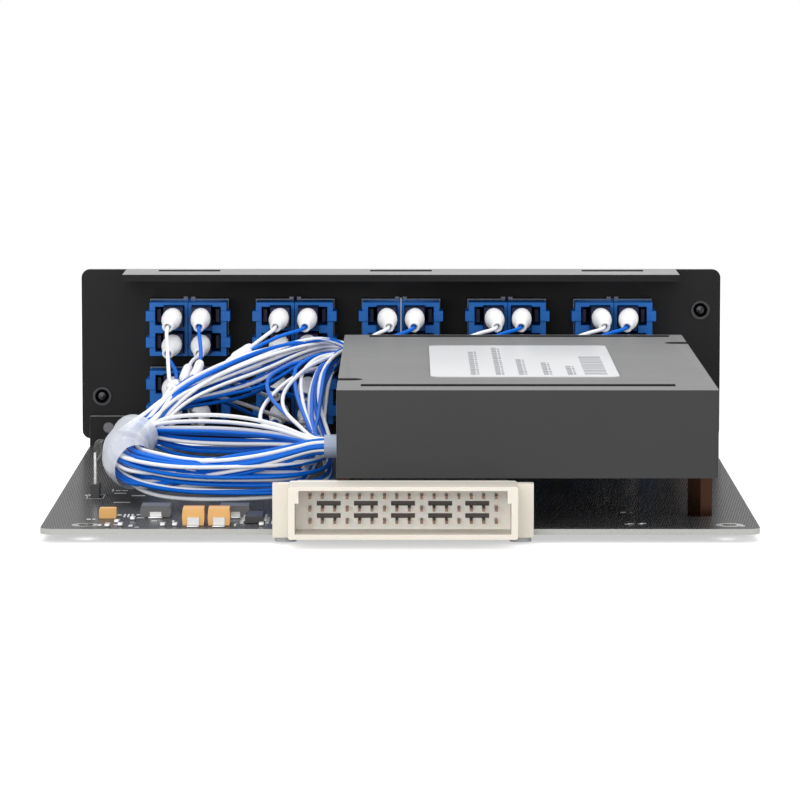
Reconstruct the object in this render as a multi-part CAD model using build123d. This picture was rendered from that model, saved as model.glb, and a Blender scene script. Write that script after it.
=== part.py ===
"""Rack card with a wavelength multiplexer on a circuit board, in millimetres.

X runs across the card, +Y from the backplane connector towards the front panel and +Z up
from the surface that the card rests on. The origin is the centre of the base.
"""

import math
import os

from build123d import *

# Clearances
FIT_GAP = 0.05
PART_GAP = 0.1
RUNNING_GAP = 0.05

# Circuit board
BOARD_WIDTH = 148.6
BOARD_DEPTH = 160.0
BOARD_THICKNESS = 1.2
BOARD_CORNER_RADIUS = 3.0
BOARD_HOLE_RADIUS = 1.6
BOARD_HOLE_BACK = 7.0
BOARD_HOLE_LEFT_INSET = 9.1
BOARD_HOLE_RIGHT_INSET = 6.1

# Screws of the board, with their heads under it
SCREW_RADIUS = 1.25
SCREW_HEAD_RADIUS = 2.25
SCREW_HEAD_HEIGHT = 1.7
SCREW_HOLE_RADIUS = SCREW_RADIUS + PART_GAP
THREAD_HOLE_RADIUS = SCREW_RADIUS + FIT_GAP
SCREW_GRIP = 4.0

# Front panel
PANEL_OVERHANG = 1.95
PANEL_HEIGHT = 40.6
PANEL_THICKNESS = 1.6
PANEL_CORNER_RADIUS = 2.0
PANEL_LIFT = 1.5
PANEL_SETBACK = 1.8
FLANGE_INSET = 10.75
FLANGE_DEPTH = 18.0
FLANGE_SLOT_WIDTH = 14.7
FLANGE_SLOT_DEPTH = 5.0
FLANGE_SLOT_INSET = 2.0

# Angle brackets that join the board to the panel
BRACKET_WIDTH = 9.0
BRACKET_THICKNESS = SCREW_HEAD_HEIGHT
BRACKET_FOOT = 12.0
BRACKET_HEIGHT = 7.0
BRACKET_EDGE = -0.1
BRACKET_SCREW_BACK = 5.5
BRACKET_DOME_RADIUS = 2.0
BRACKET_DOME_HEIGHT = 1.6
BRACKET_SCREW_SINK = 0.05
PANEL_SCREW_HEIGHT = 4.3
COUNTERSINK_RADIUS = 2.3

# Optical adapters, two side by side in a block
COLUMN_PITCH = 25.15
COLUMN_MARGIN = 25.9
ROW_HEIGHTS = (12.6, 28.8)
ADAPTER_WIDTH = 9.1
ADAPTER_HEIGHT = 12.7
ADAPTER_SEAM = 0.1
ADAPTER_REAR = 12.6
ADAPTER_FRONT = 12.6
PORT_PITCH = 6.25
PORT_OFFSET = 3.3
PORT_WIDTH = 4.9
PORT_HEIGHT = 5.1
PORT_DEPTH = 9.0
LATCH_HEIGHT = 4.4
ADAPTER_WALL = 1.35
TAB_HEIGHT = 2.4
TAB_PROUD = 0.85
TAB_REAR = 0.5
CROSSBAR_SETBACK = 2.0
SHOULDER_PROUD = 1.2
SHOULDER_THICKNESS = 1.5
SHOULDER_WIDTH = 7.6
CLIP_THICKNESS = 0.25
CLIP_LENGTH = 4.4
CLIP_START = 0.4
CLIP_FINGER_WIDTH = 1.0
CLIP_FINGER_RISE = 0.5

# Plugs behind the adapters and their boots
PLUG_WIDTH = 4.5
PLUG_HEIGHT = 4.7
PLUG_PROUD = 5.4
LATCH_ARM_THICKNESS = 0.8
LATCH_ARM_WIDTH = 3.0
LATCH_ARM_LENGTH = 7.0
LATCH_ROOT_END = 1.2
LATCH_ROOT_STEP = 0.4
LATCH_ROOT_LENGTH = 2.0
LATCH_LIFT = 1.2
BOOT_RADIUS = 2.3
BOOT_TIP_RADIUS = 1.3
BOOT_BARREL = 1.6
BOOT_SHOULDER = 3.6
BOOT_SHOULDER_RADIUS = 1.75
BOOT_FLATS = 10
BOOT_LENGTH = 6.8
BOOT_DROOP = 15.0
BOOT_YAW_FIRST = -8.0
BOOT_YAW_STEP = 2.75

# Dust plugs in front of the adapters
DUST_POST_WIDTH = 4.5
DUST_POST_HEIGHT = 4.7
DUST_POST_LENGTH = 7.0
DUST_CAP_WIDTH = 8.2
DUST_CAP_HEIGHT = 11.6
DUST_CAP_LENGTH = 3.0
DUST_GRIP_WIDTH = 3.0

# Multiplexer housing on its standoffs
MODULE_WIDTH = 78.6
MODULE_DEPTH = 135.0
MODULE_HEIGHT = 18.2
MODULE_EDGE = 8.8
MODULE_WALL = 2.0
MODULE_CORNER_RADIUS = 3.0
MODULE_EDGE_RADIUS = 0.5
COVER_THICKNESS = 2.2
COVER_LIP = 1.0
COVER_LIP_WIDTH = 1.5
PILLAR_SIZE = 8.0
STANDOFF_HEIGHT = 10.5
STANDOFF_FLATS = 5.0
STANDOFF_INSET = 2.4
STANDOFF_NEAR = 24.0
STANDOFF_FAR = 113.0
NOTCH_WIDTH = 5.2
NOTCH_DEPTH = 5.2
GROOVE_DEPTH = 1.2
GROOVE_WIDTH = 5.0
FRONT_GROOVE = (4.9, 8.3, 8.5)
REAR_GROOVE = (5.8, 3.0, 129.0)
LABEL_SIZE = (40.0, 76.0, 0.15)
LABEL_PLACE = (19.5, 28.6)
LABEL_CORNER_RADIUS = 2.0
HEATER_SIZE = (52.0, 34.0, 3.0)
CHIP_SIZE = (42.0, 26.0, 1.0)
ARRAY_SIZE = (6.0, 12.0, 2.4)
MODULE_CENTRE_Y = 68.0

# Backplane connector
CONNECTOR_INSET = 74.9
CONNECTOR_OVERHANG = 11.7
CONTACT_COLUMNS = 16
CONTACT_ROWS = 3
CONTACT_PITCH = 2.54
CONTACT_SIZE = 0.6
CONTACT_TAIL = 0.8
CONTACT_LOWEST = 2.3
CONTACT_TIP = 4.2
CONTACT_TAIL_START = 2.0
SHROUD_MARGIN = 4.35
SHROUD_HEIGHT = 10.8
SHROUD_DROP = 0.75
SHROUD_WALL = 1.05
SHROUD_SIDE_WALL = 1.35
SHROUD_DEPTH = 9.5
SHROUD_CORNER_RADIUS = 0.5
KEY_WIDTH = 0.8
KEY_HEIGHT = 2.6
FLOOR_SLOT_WIDTH = 4.9
FLOOR_SLOT_HEIGHT = 0.95
FLOOR_SLOT_DEPTH = 1.0
FLOOR_SLOT_DROP = 0.5
SHROUD_TOP_SLIM = 0.25
FLOOR_SLOTS = 5
REAR_BODY_INSET = 2.55
REAR_BODY_DEPTH = 1.0
LUG_END = 2.55
LUG_PLATE = 3.0
LUG_PLATE_LOW = 1.5
LUG_PLATE_STEP = 0.3
LUG_DEPTH = 6.5
LUG_HEIGHT = 3.2
LUG_SCREW_MARGIN = 5.2
LUG_SCREW_BACK = 3.4
NUT_FLATS = 4.5
NUT_HEIGHT = 2.0

# Captive panel screws
CAPTIVE_INSET = 4.75
CAPTIVE_LEFT_HEIGHT = 11.7
CAPTIVE_RIGHT_HEIGHT = 32.4
CAPTIVE_TRAVEL = 5.0
CAPTIVE_THREAD_RADIUS = 1.5
CAPTIVE_SHANK_RADIUS = 1.15
CAPTIVE_TIP_PROUD = 0.2
CAPTIVE_TIP_DOME = 0.7
FERRULE_RADIUS = 2.2
FERRULE_BORE_RADIUS = 1.7
FERRULE_REAR = 0.35
FERRULE_FLANGE_RADIUS = 3.6
FERRULE_FLANGE = 0.8
FERRULE_BARREL_RADIUS = 2.3
FERRULE_BARREL = 2.0
FERRULE_NECK = 0.9
SPRING_RADIUS = 2.9
SPRING_WIRE = 0.45
SPRING_TURNS = 3
SPRING_LENGTH = 7.4
WASHER_RADIUS = 3.5
WASHER_THICKNESS = 0.4
KNOB_RADIUS = 4.6
KNOB_BORE_RADIUS = 3.9
KNOB_SKIRT = 2.8
KNOB_HEAD = 3.4
KNOB_CHAMFER = 0.5
KNOB_RECESS_WIDTH = 1.0
KNOB_RECESS_LENGTH = 4.4
KNOB_RECESS_DEPTH = 1.6

# Parts on the board, each placed by the middle of its near edge from the board's left rear corner
CAPACITOR_SIZE = (4.65, 6.0, 3.6)
CAPACITOR_PLACES = ((31.5, 5.0), (36.8, 5.0))
SMALL_CAPACITOR_SIZE = (3.6, 2.8, 2.1)
SMALL_CAPACITOR_PLACE = (13.0, 17.8)
DIODE_SIZE = (6.6, 6.0, 2.5)
DIODE_PLACES = ((23.0, 19.0), (39.5, 19.0))
TERMINAL_WIDTH = 2.4
TERMINAL_THICKNESS = 0.25
TERMINAL_FOOT = 1.2
DRIVER_SIZE = (3.9, 9.9, 1.5)
DRIVER_PLACE = (44.0, 9.0)
DRIVER_STANDOFF = 0.15
LEG_WIDTH = 0.42
LEG_THICKNESS = 0.2
LEG_REACH = 1.05
LEG_COUNT = 8
LEG_PITCH = 1.27
CHIP_PART_SIZE = (0.9, 1.7, 0.6)
CHIP_PART_PLACES = (
    (13.8, 3.2),
    (16.4, 4.4),
    (15.4, 9.5),
    (25.2, 4.2),
    (27.7, 4.4),
    (45.6, 5.0),
    (18.4, 14.5),
)

# Status lamp on bent leads, above a spacer
LAMP_INSET = 8.0
LAMP_Y = 55.0
LEAD_SIZE = 0.5
LEAD_PITCH = 2.54
LEAD_HEIGHT = 9.6
LAMP_SETBACK = 23.0
LAMP_RADIUS = 1.5
LAMP_RIM_RADIUS = 1.9
LAMP_RIM = 1.0
LAMP_LENGTH = 5.2
SPACER_SIZE = (1.9, 5.1, 3.0)

# Fibres: outer shape of the coil, its wrap and the runs behind the ports
COIL_RADIUS = 4.2
WRAP_THICKNESS = 0.5
COIL_ROUTE = (
    (-21.0, 62.0, 13.5),
    (-23.0, 38.0, 9.8),
    (-41.0, 31.0, 7.4),
    (-55.0, 42.0, 7.4),
    (-59.6, 64.0, 10.0),
    (-56.5, 90.0, 14.8),
    (-42.0, 114.0, 21.0),
    (-25.0, 121.0, 24.5),
    (-20.5, 96.0, 20.0),
)
COIL_SPLIT_INDEX = 4
WRAP_FIRST_INDEX = 3
WRAP_LAST_INDEX = 5
EXIT_SLEEVE_RADIUS = 2.5
EXIT_SLEEVE_BORE = 2.1
EXIT_SLEEVE_Y = 30.0
EXIT_SLEEVE_HEIGHT = 13.9
EXIT_SLEEVE_PROUD = 3.0
RUN_RADIUS = 1.9
RUN_CLEARANCE = 2.3
RUN_DROP = 8.1
RUN_END = 2.5
RUN_LINK_SHIFTS = (-19.0, -12.0)
RUN_LINK_LEAN = 4.0
RUN_LINK_SINK = 3.0
LEAD_RADIUS = 0.45
LEAD_SWAY = 5.2

# Places worked out from the sizes above
X_BOARD = -BOARD_WIDTH / 2
PANEL_WIDTH = BOARD_WIDTH + 2 * PANEL_OVERHANG
FLANGE_WIDTH = PANEL_WIDTH - 2 * FLANGE_INSET
COLUMNS = 1 + int((PANEL_WIDTH - 2 * COLUMN_MARGIN) / COLUMN_PITCH)
CAPTIVE_X = PANEL_WIDTH / 2 - CAPTIVE_INSET
CONNECTOR_X = X_BOARD + CONNECTOR_INSET
CONTACT_FIELD = (CONTACT_COLUMNS - 1) * CONTACT_PITCH
SHROUD_WIDTH = CONTACT_FIELD + 2 * SHROUD_MARGIN
LUG_SCREW_SPACING = CONTACT_FIELD + 2 * LUG_SCREW_MARGIN
LUG_SPAN = LUG_SCREW_SPACING + 2 * LUG_END
REAR_BODY_WIDTH = LUG_SCREW_SPACING - 2 * REAR_BODY_INSET
LAMP_X = X_BOARD + LAMP_INSET
Z_BOARD_BOTTOM = SCREW_HEAD_HEIGHT
Z_BOARD = Z_BOARD_BOTTOM + BOARD_THICKNESS
PANEL_REAR_DEPTH = BOARD_DEPTH + PANEL_SETBACK
PANEL_FRONT_DEPTH = PANEL_REAR_DEPTH + PANEL_THICKNESS
FRONT_DEPTH = PANEL_FRONT_DEPTH + ADAPTER_FRONT + DUST_CAP_LENGTH
Y_BOARD = CONNECTOR_OVERHANG - (CONNECTOR_OVERHANG + FRONT_DEPTH) / 2
Y_PANEL_REAR = Y_BOARD + PANEL_REAR_DEPTH
Y_PANEL_FRONT = Y_BOARD + PANEL_FRONT_DEPTH
Y_ADAPTER_REAR = Y_PANEL_REAR - ADAPTER_REAR
Y_ADAPTER_FRONT = Y_PANEL_FRONT + ADAPTER_FRONT
Y_PLUG_REAR = Y_ADAPTER_REAR - PLUG_PROUD
Z_PANEL = Z_BOARD + PANEL_LIFT
Z_PANEL_TOP = Z_PANEL + PANEL_HEIGHT
MODULE_RIGHT = BOARD_WIDTH / 2 - MODULE_EDGE
MODULE_LEFT = MODULE_RIGHT - MODULE_WIDTH
MODULE_CENTRE_X = (MODULE_LEFT + MODULE_RIGHT) / 2
Z_MODULE = Z_BOARD + STANDOFF_HEIGHT
Z_MODULE_TOP = Z_MODULE + MODULE_HEIGHT
Z_COVER = Z_MODULE_TOP - COVER_THICKNESS
STANDOFF_LEFT_X = MODULE_LEFT + STANDOFF_INSET
STANDOFF_RIGHT_X = MODULE_RIGHT - STANDOFF_INSET
STANDOFFS = [
    (STANDOFF_LEFT_X, Y_BOARD + STANDOFF_NEAR),
    (STANDOFF_RIGHT_X, Y_BOARD + STANDOFF_FAR),
    (STANDOFF_LEFT_X, Y_BOARD + STANDOFF_FAR),
    (STANDOFF_RIGHT_X, Y_BOARD + STANDOFF_NEAR),
]
OPEN_NOTCHES = STANDOFFS[:2]
LUG_SCREWS = [
    (CONNECTOR_X - LUG_SCREW_SPACING / 2, Y_BOARD + LUG_SCREW_BACK),
    (CONNECTOR_X + LUG_SCREW_SPACING / 2, Y_BOARD + LUG_SCREW_BACK),
]
BRACKET_X = BOARD_WIDTH / 2 - BRACKET_EDGE - BRACKET_WIDTH / 2
BRACKET_SCREW_Y = Y_BOARD + BOARD_DEPTH - BRACKET_SCREW_BACK
BRACKET_SCREWS = [(-BRACKET_X, BRACKET_SCREW_Y), (BRACKET_X, BRACKET_SCREW_Y)]
COLUMN_XS = [(i - (COLUMNS - 1) / 2) * COLUMN_PITCH for i in range(COLUMNS)]
Y_SHROUD_FRONT = Y_BOARD - CONNECTOR_OVERHANG
Y_SHROUD_FLOOR = Y_SHROUD_FRONT + SHROUD_DEPTH
Z_SHROUD = Z_BOARD - SHROUD_DROP
Z_SHROUD_TOP = Z_SHROUD + SHROUD_HEIGHT
CONTACT_XS = [CONNECTOR_X + (i - (CONTACT_COLUMNS - 1) / 2) * CONTACT_PITCH for i in range(CONTACT_COLUMNS)]
CONTACT_ZS = [Z_BOARD + CONTACT_LOWEST + i * CONTACT_PITCH for i in range(CONTACT_ROWS)]
Y_FERRULE_FACE = Y_PANEL_FRONT + FERRULE_FLANGE
Y_BARREL_END = Y_FERRULE_FACE + FERRULE_BARREL
Y_WASHER = Y_FERRULE_FACE + SPRING_LENGTH
Y_KNOB_FLOOR = Y_WASHER + WASHER_THICKNESS + RUNNING_GAP


def slab(x0, x1, y0, y1, z0, z1):
    """Block between two opposite corners."""
    middle = Pos((x0 + x1) / 2, (y0 + y1) / 2, (z0 + z1) / 2)
    return middle * Box(x1 - x0, y1 - y0, z1 - z0)


def along_y(profile, y0, y1):
    """Profile drawn in X and Z, extruded from one depth to another."""
    return extrude(Plane.XZ.offset(-y0) * profile, amount=-(y1 - y0))


def along_x(profile, x0, x1):
    """Profile drawn in Y and Z, extruded from one side to the other."""
    return extrude(Plane.YZ.offset(x0) * profile, amount=x1 - x0)


def outline(*points):
    """Closed straight-sided face through the points."""
    return make_face(Polyline(*points, close=True))


def upright(radius, z0, z1, x, y):
    """Round bar or hole along Z."""
    return Pos(x, y, (z0 + z1) / 2) * Cylinder(radius, z1 - z0)


def turned_y(x, z, *points):
    """Body of revolution along Y from points of radius and depth."""
    return Pos(x, 0, z) * revolve(outline(*points), Axis.Y)


def turned_z(x, y, *points):
    """Body of revolution along Z from points of radius and height."""
    return Pos(x, y, 0) * revolve(Plane.XZ * outline(*points), Axis.Z)


def union(shapes):
    """One body from shapes that touch or overlap."""
    first, *rest = shapes
    return first.fuse(*rest) if rest else first


def group(shapes):
    """Separate bodies kept together in one sub-part."""
    return Compound([solid for shape in shapes for solid in shape.solids()])


def circuit_board():
    sheet = RectangleRounded(BOARD_WIDTH, BOARD_DEPTH, BOARD_CORNER_RADIUS)
    sheet = Pos(0, Y_BOARD + BOARD_DEPTH / 2) * sheet
    for x in (X_BOARD + BOARD_HOLE_LEFT_INSET, -X_BOARD - BOARD_HOLE_RIGHT_INSET):
        sheet -= Pos(x, Y_BOARD + BOARD_HOLE_BACK) * Circle(BOARD_HOLE_RADIUS)
    for x, y in STANDOFFS + LUG_SCREWS + BRACKET_SCREWS:
        sheet -= Pos(x, y) * Circle(SCREW_HOLE_RADIUS)
    return extrude(Pos(0, 0, Z_BOARD_BOTTOM) * sheet, amount=BOARD_THICKNESS)


def front_panel():
    """Flat plate with a flange folded back from its top edge, cut for the ports and screws."""
    plate = RectangleRounded(PANEL_WIDTH, PANEL_HEIGHT, PANEL_CORNER_RADIUS)
    plate = Pos(0, Z_PANEL + PANEL_HEIGHT / 2) * plate
    for x in COLUMN_XS:
        for height in ROW_HEIGHTS:
            cutout = Rectangle(2 * (ADAPTER_WIDTH + PART_GAP), ADAPTER_HEIGHT + 2 * PART_GAP)
            plate -= Pos(x, Z_BOARD + height) * cutout
    for x, z in captive_places():
        plate -= Pos(x, z) * Circle(FERRULE_RADIUS + FIT_GAP)
    panel = along_y(plate, Y_PANEL_REAR, Y_PANEL_FRONT)
    fold = outline(
        (Y_PANEL_REAR - FLANGE_DEPTH, Z_PANEL_TOP),
        (Y_PANEL_FRONT, Z_PANEL_TOP),
        (Y_PANEL_FRONT, Z_PANEL_TOP - 2 * PANEL_THICKNESS),
        (Y_PANEL_REAR, Z_PANEL_TOP - 2 * PANEL_THICKNESS),
        (Y_PANEL_REAR, Z_PANEL_TOP - PANEL_THICKNESS),
        (Y_PANEL_REAR - FLANGE_DEPTH, Z_PANEL_TOP - PANEL_THICKNESS),
    )
    inner_bend = fold.vertices().sort_by_distance((Y_PANEL_REAR, Z_PANEL_TOP - PANEL_THICKNESS))[0]
    fold = fillet(inner_bend, PANEL_THICKNESS / 2)
    panel += along_x(fold, -FLANGE_WIDTH / 2, FLANGE_WIDTH / 2)
    slot_front = Y_PANEL_REAR - FLANGE_SLOT_INSET
    for x in COLUMN_XS[::2]:
        half = FLANGE_SLOT_WIDTH / 2
        low = Z_PANEL_TOP - 2 * PANEL_THICKNESS
        panel -= slab(x - half, x + half, slot_front - FLANGE_SLOT_DEPTH, slot_front, low, Z_PANEL_TOP + 1)
    for x in (-BRACKET_X, BRACKET_X):
        panel -= panel_screw_body(x, PART_GAP)
    return panel


def panel_screw_body(x, gap):
    """Countersunk screw from the panel's face into the bracket, or its hole."""
    end = Y_PANEL_REAR - BRACKET_THICKNESS
    slope_end = Y_PANEL_FRONT - (COUNTERSINK_RADIUS - SCREW_RADIUS)
    return turned_y(
        x,
        Z_BOARD + PANEL_SCREW_HEIGHT,
        (0, end),
        (SCREW_RADIUS + gap, end),
        (SCREW_RADIUS + gap, slope_end),
        (COUNTERSINK_RADIUS + gap, Y_PANEL_FRONT),
        (0, Y_PANEL_FRONT),
    )


def panel_bracket(side):
    """Angle with its foot under the board and its leg behind the panel."""
    rear = Y_PANEL_REAR - BRACKET_THICKNESS
    angle = outline(
        (Y_PANEL_REAR - BRACKET_FOOT, 0),
        (Y_PANEL_REAR, 0),
        (Y_PANEL_REAR, Z_BOARD + BRACKET_HEIGHT),
        (rear, Z_BOARD + BRACKET_HEIGHT),
        (rear, BRACKET_THICKNESS),
        (Y_PANEL_REAR - BRACKET_FOOT, BRACKET_THICKNESS),
    )
    angle = fillet(angle.vertices().sort_by_distance((Y_PANEL_REAR, 0))[0], BRACKET_THICKNESS / 2)
    x = side * BRACKET_X
    bracket = along_x(angle, x - BRACKET_WIDTH / 2, x + BRACKET_WIDTH / 2)
    bracket -= upright(THREAD_HOLE_RADIUS, -1, BRACKET_THICKNESS + 1, x, BRACKET_SCREW_Y)
    return bracket - panel_screw_body(x, FIT_GAP)


def bracket_screws():
    """Countersunk screws of the panel and domed screws of the board."""
    screws = [panel_screw_body(x, 0) for x in (-BRACKET_X, BRACKET_X)]
    for x, y in BRACKET_SCREWS:
        dome_edge = Z_BOARD + BRACKET_DOME_HEIGHT / 2
        screws.append(
            turned_z(
                x,
                y,
                (0, BRACKET_SCREW_SINK),
                (SCREW_RADIUS, BRACKET_SCREW_SINK),
                (SCREW_RADIUS, Z_BOARD),
                (BRACKET_DOME_RADIUS, Z_BOARD),
                (BRACKET_DOME_RADIUS, dome_edge),
                (BRACKET_DOME_RADIUS / 2, Z_BOARD + BRACKET_DOME_HEIGHT),
                (0, Z_BOARD + BRACKET_DOME_HEIGHT),
            )
        )
    return group(screws)


def port_places(block_x, block_z):
    """Middle of each port of a block, with the side that its latch faces."""
    places = []
    for side in (-1, 1):
        for level in (-1, 1):
            places.append((block_x + side * PORT_OFFSET, block_z + level * PORT_PITCH / 2, side))
    return places


def adapter(block_x, block_z, side):
    """Duplex adapter stood on end, with a latch recess beside each port and a shoulder in front."""
    near = ADAPTER_SEAM / 2
    half_height = ADAPTER_HEIGHT / 2
    latch_end = ADAPTER_WIDTH - ADAPTER_WALL
    body = Pos((near + ADAPTER_WIDTH) / 2, 0) * Rectangle(ADAPTER_WIDTH - near, ADAPTER_HEIGHT)
    cavities = Sketch()
    tabs = Sketch()
    for level in (-1, 1):
        z = level * PORT_PITCH / 2
        latch_middle = (PORT_OFFSET + latch_end) / 2
        cavities += Pos(PORT_OFFSET, z) * Rectangle(PORT_WIDTH, PORT_HEIGHT)
        cavities += Pos(latch_middle, z) * Rectangle(latch_end - PORT_OFFSET, LATCH_HEIGHT)
        tab_width = ADAPTER_WALL + TAB_PROUD
        tabs += Pos(latch_end + tab_width / 2, z) * Rectangle(tab_width, TAB_HEIGHT)
    shape = along_y(body, Y_ADAPTER_REAR, Y_ADAPTER_FRONT)
    tab_end = Y_PANEL_REAR - CLIP_LENGTH - PART_GAP * 4
    shape += along_y(tabs, Y_ADAPTER_REAR - TAB_REAR, tab_end)
    shoulder = Pos(ADAPTER_WIDTH / 2, 0) * Rectangle(SHOULDER_WIDTH, ADAPTER_HEIGHT + 2 * SHOULDER_PROUD)
    shape += along_y(shoulder, Y_PANEL_FRONT, Y_PANEL_FRONT + SHOULDER_THICKNESS)
    shape -= along_y(cavities, Y_ADAPTER_REAR, Y_ADAPTER_REAR + PORT_DEPTH)
    between = Pos(PORT_OFFSET, 0) * Rectangle(PORT_WIDTH, PORT_PITCH)
    shape -= along_y(between, Y_ADAPTER_REAR, Y_ADAPTER_REAR + CROSSBAR_SETBACK)
    shape -= along_y(cavities, Y_ADAPTER_FRONT - PORT_DEPTH, Y_ADAPTER_FRONT)
    if side < 0:
        shape = mirror(shape, Plane.YZ)
    return Pos(block_x, 0, block_z) * shape


def adapter_clip(block_x, block_z, side):
    """Spring strap round the top, outer side and bottom of an adapter, with raised fingers."""
    outer = ADAPTER_WIDTH + CLIP_THICKNESS
    half = ADAPTER_HEIGHT / 2
    high = half + CLIP_THICKNESS
    start = CLIP_START
    strap = outline(
        (start, high),
        (outer, high),
        (outer, -high),
        (start, -high),
        (start, -half),
        (ADAPTER_WIDTH, -half),
        (ADAPTER_WIDTH, half),
        (start, half),
    )
    clip = along_y(strap, Y_PANEL_REAR - CLIP_LENGTH, Y_PANEL_REAR - PART_GAP)
    for level in (-1, 1):
        z0, z1 = sorted((level * half, level * (high + CLIP_FINGER_RISE)))
        rear = Y_PANEL_REAR - CLIP_LENGTH
        clip += slab(start, start + CLIP_FINGER_WIDTH, rear, rear + 2 * CLIP_THICKNESS, z0, z1)
    if side < 0:
        clip = mirror(clip, Plane.YZ)
    return Pos(block_x, 0, block_z) * clip


def plug(x, z, side):
    """Plug housing seated in its port, with the latch arm towards the outer side."""
    seat = Y_ADAPTER_REAR + PORT_DEPTH - PART_GAP
    body = slab(-PLUG_WIDTH / 2, PLUG_WIDTH / 2, Y_PLUG_REAR, seat, -PLUG_HEIGHT / 2, PLUG_HEIGHT / 2)
    root = PLUG_WIDTH / 2
    low_end = Y_ADAPTER_REAR + PORT_DEPTH - 2 * PART_GAP
    arm = outline(
        (root, low_end - LATCH_ROOT_END),
        (root + LATCH_ARM_THICKNESS, low_end - LATCH_ROOT_END - LATCH_ROOT_STEP),
        (root + LATCH_LIFT * LATCH_ARM_THICKNESS + LATCH_ARM_THICKNESS, low_end - LATCH_ARM_LENGTH),
        (root + LATCH_LIFT * LATCH_ARM_THICKNESS, low_end - LATCH_ARM_LENGTH),
        (root, low_end - LATCH_ROOT_END - LATCH_ROOT_LENGTH),
    )
    body += extrude(arm, amount=LATCH_ARM_WIDTH / 2, both=True)
    if side < 0:
        body = mirror(body, Plane.YZ)
    return Pos(x, 0, z) * body


def boot_direction(column):
    """Unit vector along a boot, away from its plug."""
    yaw = math.radians(BOOT_YAW_FIRST + BOOT_YAW_STEP * column)
    droop = math.radians(BOOT_DROOP)
    return Vector(math.sin(yaw) * math.cos(droop), -math.cos(yaw) * math.cos(droop), -math.sin(droop))


def boot_tip(x, z, column):
    """Point where the fibre leaves a boot."""
    return Vector(x, Y_PLUG_REAR, z) + boot_direction(column) * BOOT_LENGTH


def boot(x, z, column):
    """Tapered boot that droops from the rear face of its plug, with ten flats round it."""
    axis = Plane(origin=(x, Y_PLUG_REAR, z), x_dir=(1, 0, 0), z_dir=boot_direction(column))
    rings = (
        (-BOOT_RADIUS / 2, BOOT_RADIUS),
        (BOOT_BARREL, BOOT_RADIUS),
        (BOOT_SHOULDER, BOOT_SHOULDER_RADIUS),
        (BOOT_LENGTH, BOOT_TIP_RADIUS),
    )
    sections = [axis.offset(along) * RegularPolygon(radius, BOOT_FLATS) for along, radius in rings]
    shape = loft(sections, ruled=True)
    return split(shape, bisect_by=Plane.XZ.offset(-Y_PLUG_REAR), keep=Keep.TOP)


def dust_plug(block_x, block_z, side):
    """Duplex dust plug with a post in each front port and a ribbed grip."""
    cap_front = Y_ADAPTER_FRONT + DUST_CAP_LENGTH
    x = side * PORT_OFFSET
    low_x = x - DUST_POST_WIDTH / 2
    high_x = x + DUST_POST_WIDTH / 2
    cap_x = side * ADAPTER_WIDTH / 2
    grip = DUST_GRIP_WIDTH / 2
    section = outline(
        (cap_x - DUST_CAP_WIDTH / 2, Y_ADAPTER_FRONT),
        (cap_x + DUST_CAP_WIDTH / 2, Y_ADAPTER_FRONT),
        (cap_x + DUST_CAP_WIDTH / 2, Y_ADAPTER_FRONT + DUST_CAP_LENGTH / 3),
        (cap_x + grip, Y_ADAPTER_FRONT + DUST_CAP_LENGTH / 3),
        (cap_x + grip, cap_front),
        (cap_x - grip, cap_front),
        (cap_x - grip, Y_ADAPTER_FRONT + DUST_CAP_LENGTH / 3),
        (cap_x - DUST_CAP_WIDTH / 2, Y_ADAPTER_FRONT + DUST_CAP_LENGTH / 3),
    )
    shape = extrude(section, amount=DUST_CAP_HEIGHT / 2, both=True)
    for level in (-1, 1):
        z = level * PORT_PITCH / 2
        z0 = z - DUST_POST_HEIGHT / 2
        z1 = z + DUST_POST_HEIGHT / 2
        shape += slab(low_x, high_x, Y_ADAPTER_FRONT - DUST_POST_LENGTH, Y_ADAPTER_FRONT, z0, z1)
    return Pos(block_x, 0, block_z) * shape


def module_plan(width, depth, radius):
    """Rounded rectangle in the middle of the multiplexer housing."""
    return Pos(MODULE_CENTRE_X, Y_BOARD + MODULE_DEPTH / 2) * RectangleRounded(width, depth, radius)


def module_base():
    """Milled tray with a pillar over each standoff and a hole for the exit sleeve."""
    inner_width = MODULE_WIDTH - 2 * MODULE_WALL
    inner_depth = MODULE_DEPTH - 2 * MODULE_WALL
    hollow = module_plan(inner_width, inner_depth, MODULE_CORNER_RADIUS)
    for x, y in STANDOFFS:
        hollow -= Pos(x, y) * Rectangle(2 * PILLAR_SIZE - 2 * STANDOFF_INSET, PILLAR_SIZE)
    tray = extrude(
        Pos(0, 0, Z_MODULE) * module_plan(MODULE_WIDTH, MODULE_DEPTH, MODULE_EDGE_RADIUS),
        amount=Z_COVER - Z_MODULE,
    )
    tray -= extrude(Pos(0, 0, Z_MODULE + MODULE_WALL) * hollow, amount=MODULE_HEIGHT)
    for x, y in STANDOFFS:
        tray -= upright(SCREW_HOLE_RADIUS, Z_MODULE - 1, Z_COVER + 1, x, y)
    for x, y in STANDOFFS[2:]:
        low = Z_COVER - SCREW_HEAD_HEIGHT - PART_GAP
        tray -= upright(SCREW_HEAD_RADIUS + PART_GAP, low, Z_COVER + 1, x, y)
    exit_hole = Pos(0, Y_BOARD + EXIT_SLEEVE_Y, Z_BOARD + EXIT_SLEEVE_HEIGHT)
    bore = Rot(0, 90, 0) * Cylinder(EXIT_SLEEVE_RADIUS + FIT_GAP, 4 * MODULE_WALL)
    return tray - Pos(MODULE_LEFT, 0, 0) * exit_hole * bore


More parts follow.
